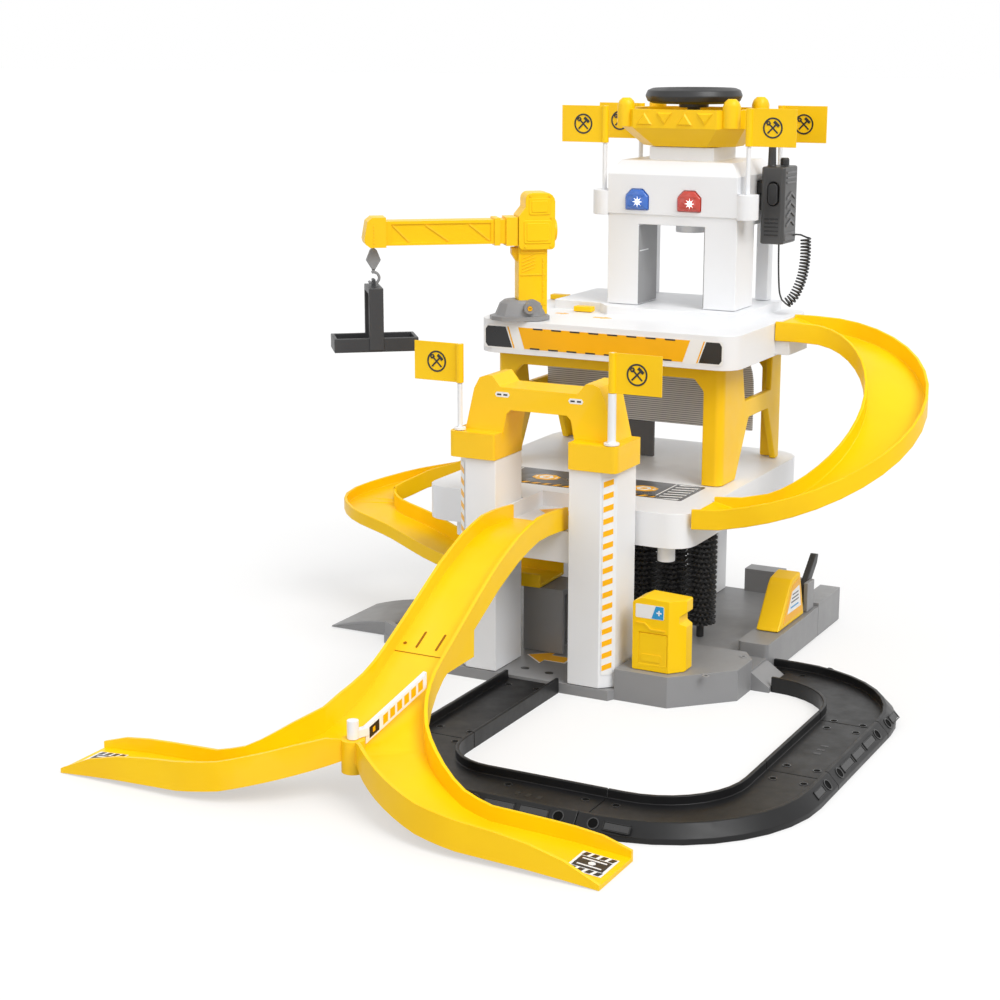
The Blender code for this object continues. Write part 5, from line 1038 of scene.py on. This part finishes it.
def cord_tube():
    """Replace the handset cord by a smooth round tube along the same route."""
    points = [point * MM for point in smooth_line(CORD_START, 4) + curls() + smooth_line(CORD_END, 5)]
    kept = [points[0]]
    for point in points[1:]:
        if (point - kept[-1]).length > LEAST_STEP:
            kept.append(point)
    curve = bpy.data.curves.new("cord", "CURVE")
    curve.dimensions = "3D"
    curve.bevel_depth = CORD_RADIUS * MM
    curve.bevel_resolution = 3
    curve.use_fill_caps = True
    spline = curve.splines.new("POLY")
    spline.points.add(len(kept) - 1)
    for knot, point in zip(spline.points, kept):
        knot.co = (*point, 1)
    curve.materials.append(RUBBER)
    piece = bpy.data.objects.new("cord", curve)
    bpy.context.scene.collection.objects.link(piece)
    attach(piece, "handset")
    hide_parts("handset_cord")


# Floor, world and lamps
AMBIENT = 0.74
FLOOR_COLOUR = 0.42
FLOOR_LIFT = 0.53
FLOOR_SIZE = 30


def ray_switch(tree):
    """Return a value that is 1 for the rays that see the white background."""
    path = tree.nodes.new("ShaderNodeLightPath")
    value = path.outputs["Is Camera Ray"]
    for name in ("Is Glossy Ray", "Is Transmission Ray"):
        either = tree.nodes.new("ShaderNodeMath")
        either.operation = "MAXIMUM"
        tree.links.new(value, either.inputs[0])
        tree.links.new(path.outputs[name], either.inputs[1])
        value = either.outputs[0]
    return value


def make_world():
    """White world for what the camera and reflections see, softer light for the rest."""
    world = bpy.data.worlds.new("studio")
    bpy.context.scene.world = world
    world.use_nodes = True
    tree = world.node_tree
    tree.nodes.clear()
    mix = tree.nodes.new("ShaderNodeMixShader")
    tree.links.new(ray_switch(tree), mix.inputs[0])
    for place, strength in ((1, AMBIENT), (2, 1)):
        light = tree.nodes.new("ShaderNodeBackground")
        light.inputs["Strength"].default_value = strength
        light.inputs["Color"].default_value = (1, 1, 1, 1)
        tree.links.new(light.outputs[0], mix.inputs[place])
    tree.links.new(mix.outputs[0], tree.nodes.new("ShaderNodeOutputWorld").inputs["Surface"])


def make_floor():
    """Plain pale floor that shows white to the camera and keeps a soft shadow."""
    material = bpy.data.materials.new("studio_floor")
    material.use_nodes = True
    tree = material.node_tree
    tree.nodes.clear()
    diffuse = tree.nodes.new("ShaderNodeBsdfDiffuse")
    diffuse.inputs["Color"].default_value = (FLOOR_COLOUR, FLOOR_COLOUR, FLOOR_COLOUR, 1)
    glow = tree.nodes.new("ShaderNodeEmission")
    lift = mapped(tree, ray_switch(tree), 0, 1, 0, FLOOR_LIFT)
    tree.links.new(lift, glow.inputs["Strength"])
    both = tree.nodes.new("ShaderNodeAddShader")
    tree.links.new(diffuse.outputs[0], both.inputs[0])
    tree.links.new(glow.outputs[0], both.inputs[1])
    tree.links.new(both.outputs[0], tree.nodes.new("ShaderNodeOutputMaterial").inputs["Surface"])
    mesh = bpy.data.meshes.new("floor")
    half = FLOOR_SIZE / 2
    corners = [(-half, -half, 0), (half, -half, 0), (half, half, 0), (-half, half, 0)]
    mesh.from_pydata(corners, [], [(0, 1, 2, 3)])
    mesh.materials.append(material)
    floor = bpy.data.objects.new("floor", mesh)
    bpy.context.scene.collection.objects.link(floor)


def make_sun(name, toward, strength, spread):
    """Light the whole set evenly from one side, with a soft shadow edge."""
    data = bpy.data.lights.new(name, "SUN")
    data.energy = strength
    data.angle = math.radians(spread)
    lamp = bpy.data.objects.new(name, data)
    lamp.rotation_euler = Vector(toward).to_track_quat("Z", "Y").to_euler()
    bpy.context.scene.collection.objects.link(lamp)


# Build everything
make_camera()
dress_nodes()
cord_tube()
for brush_letter in "abc":
    brush(brush_letter)
ramp_details()
arm_sticker()
track_details()
crane_details()
tower_details()
shaft_cover()
lens_fronts()
handset_details()
fuel_can_details()
pump_details()
ground_details()
make_world()
make_floor()
make_sun("key", (0.62, -0.30, 0.74), 1.9, 32)
make_sun("fill", (-0.25, -0.9, 0.35), 0.5, 60)
fascia_sticker()
arch_stickers()
column_stripes()
lower_deck_sticker()
floor_arrows()
flag_signs()

bpy.context.scene.view_settings.view_transform = "Standard"
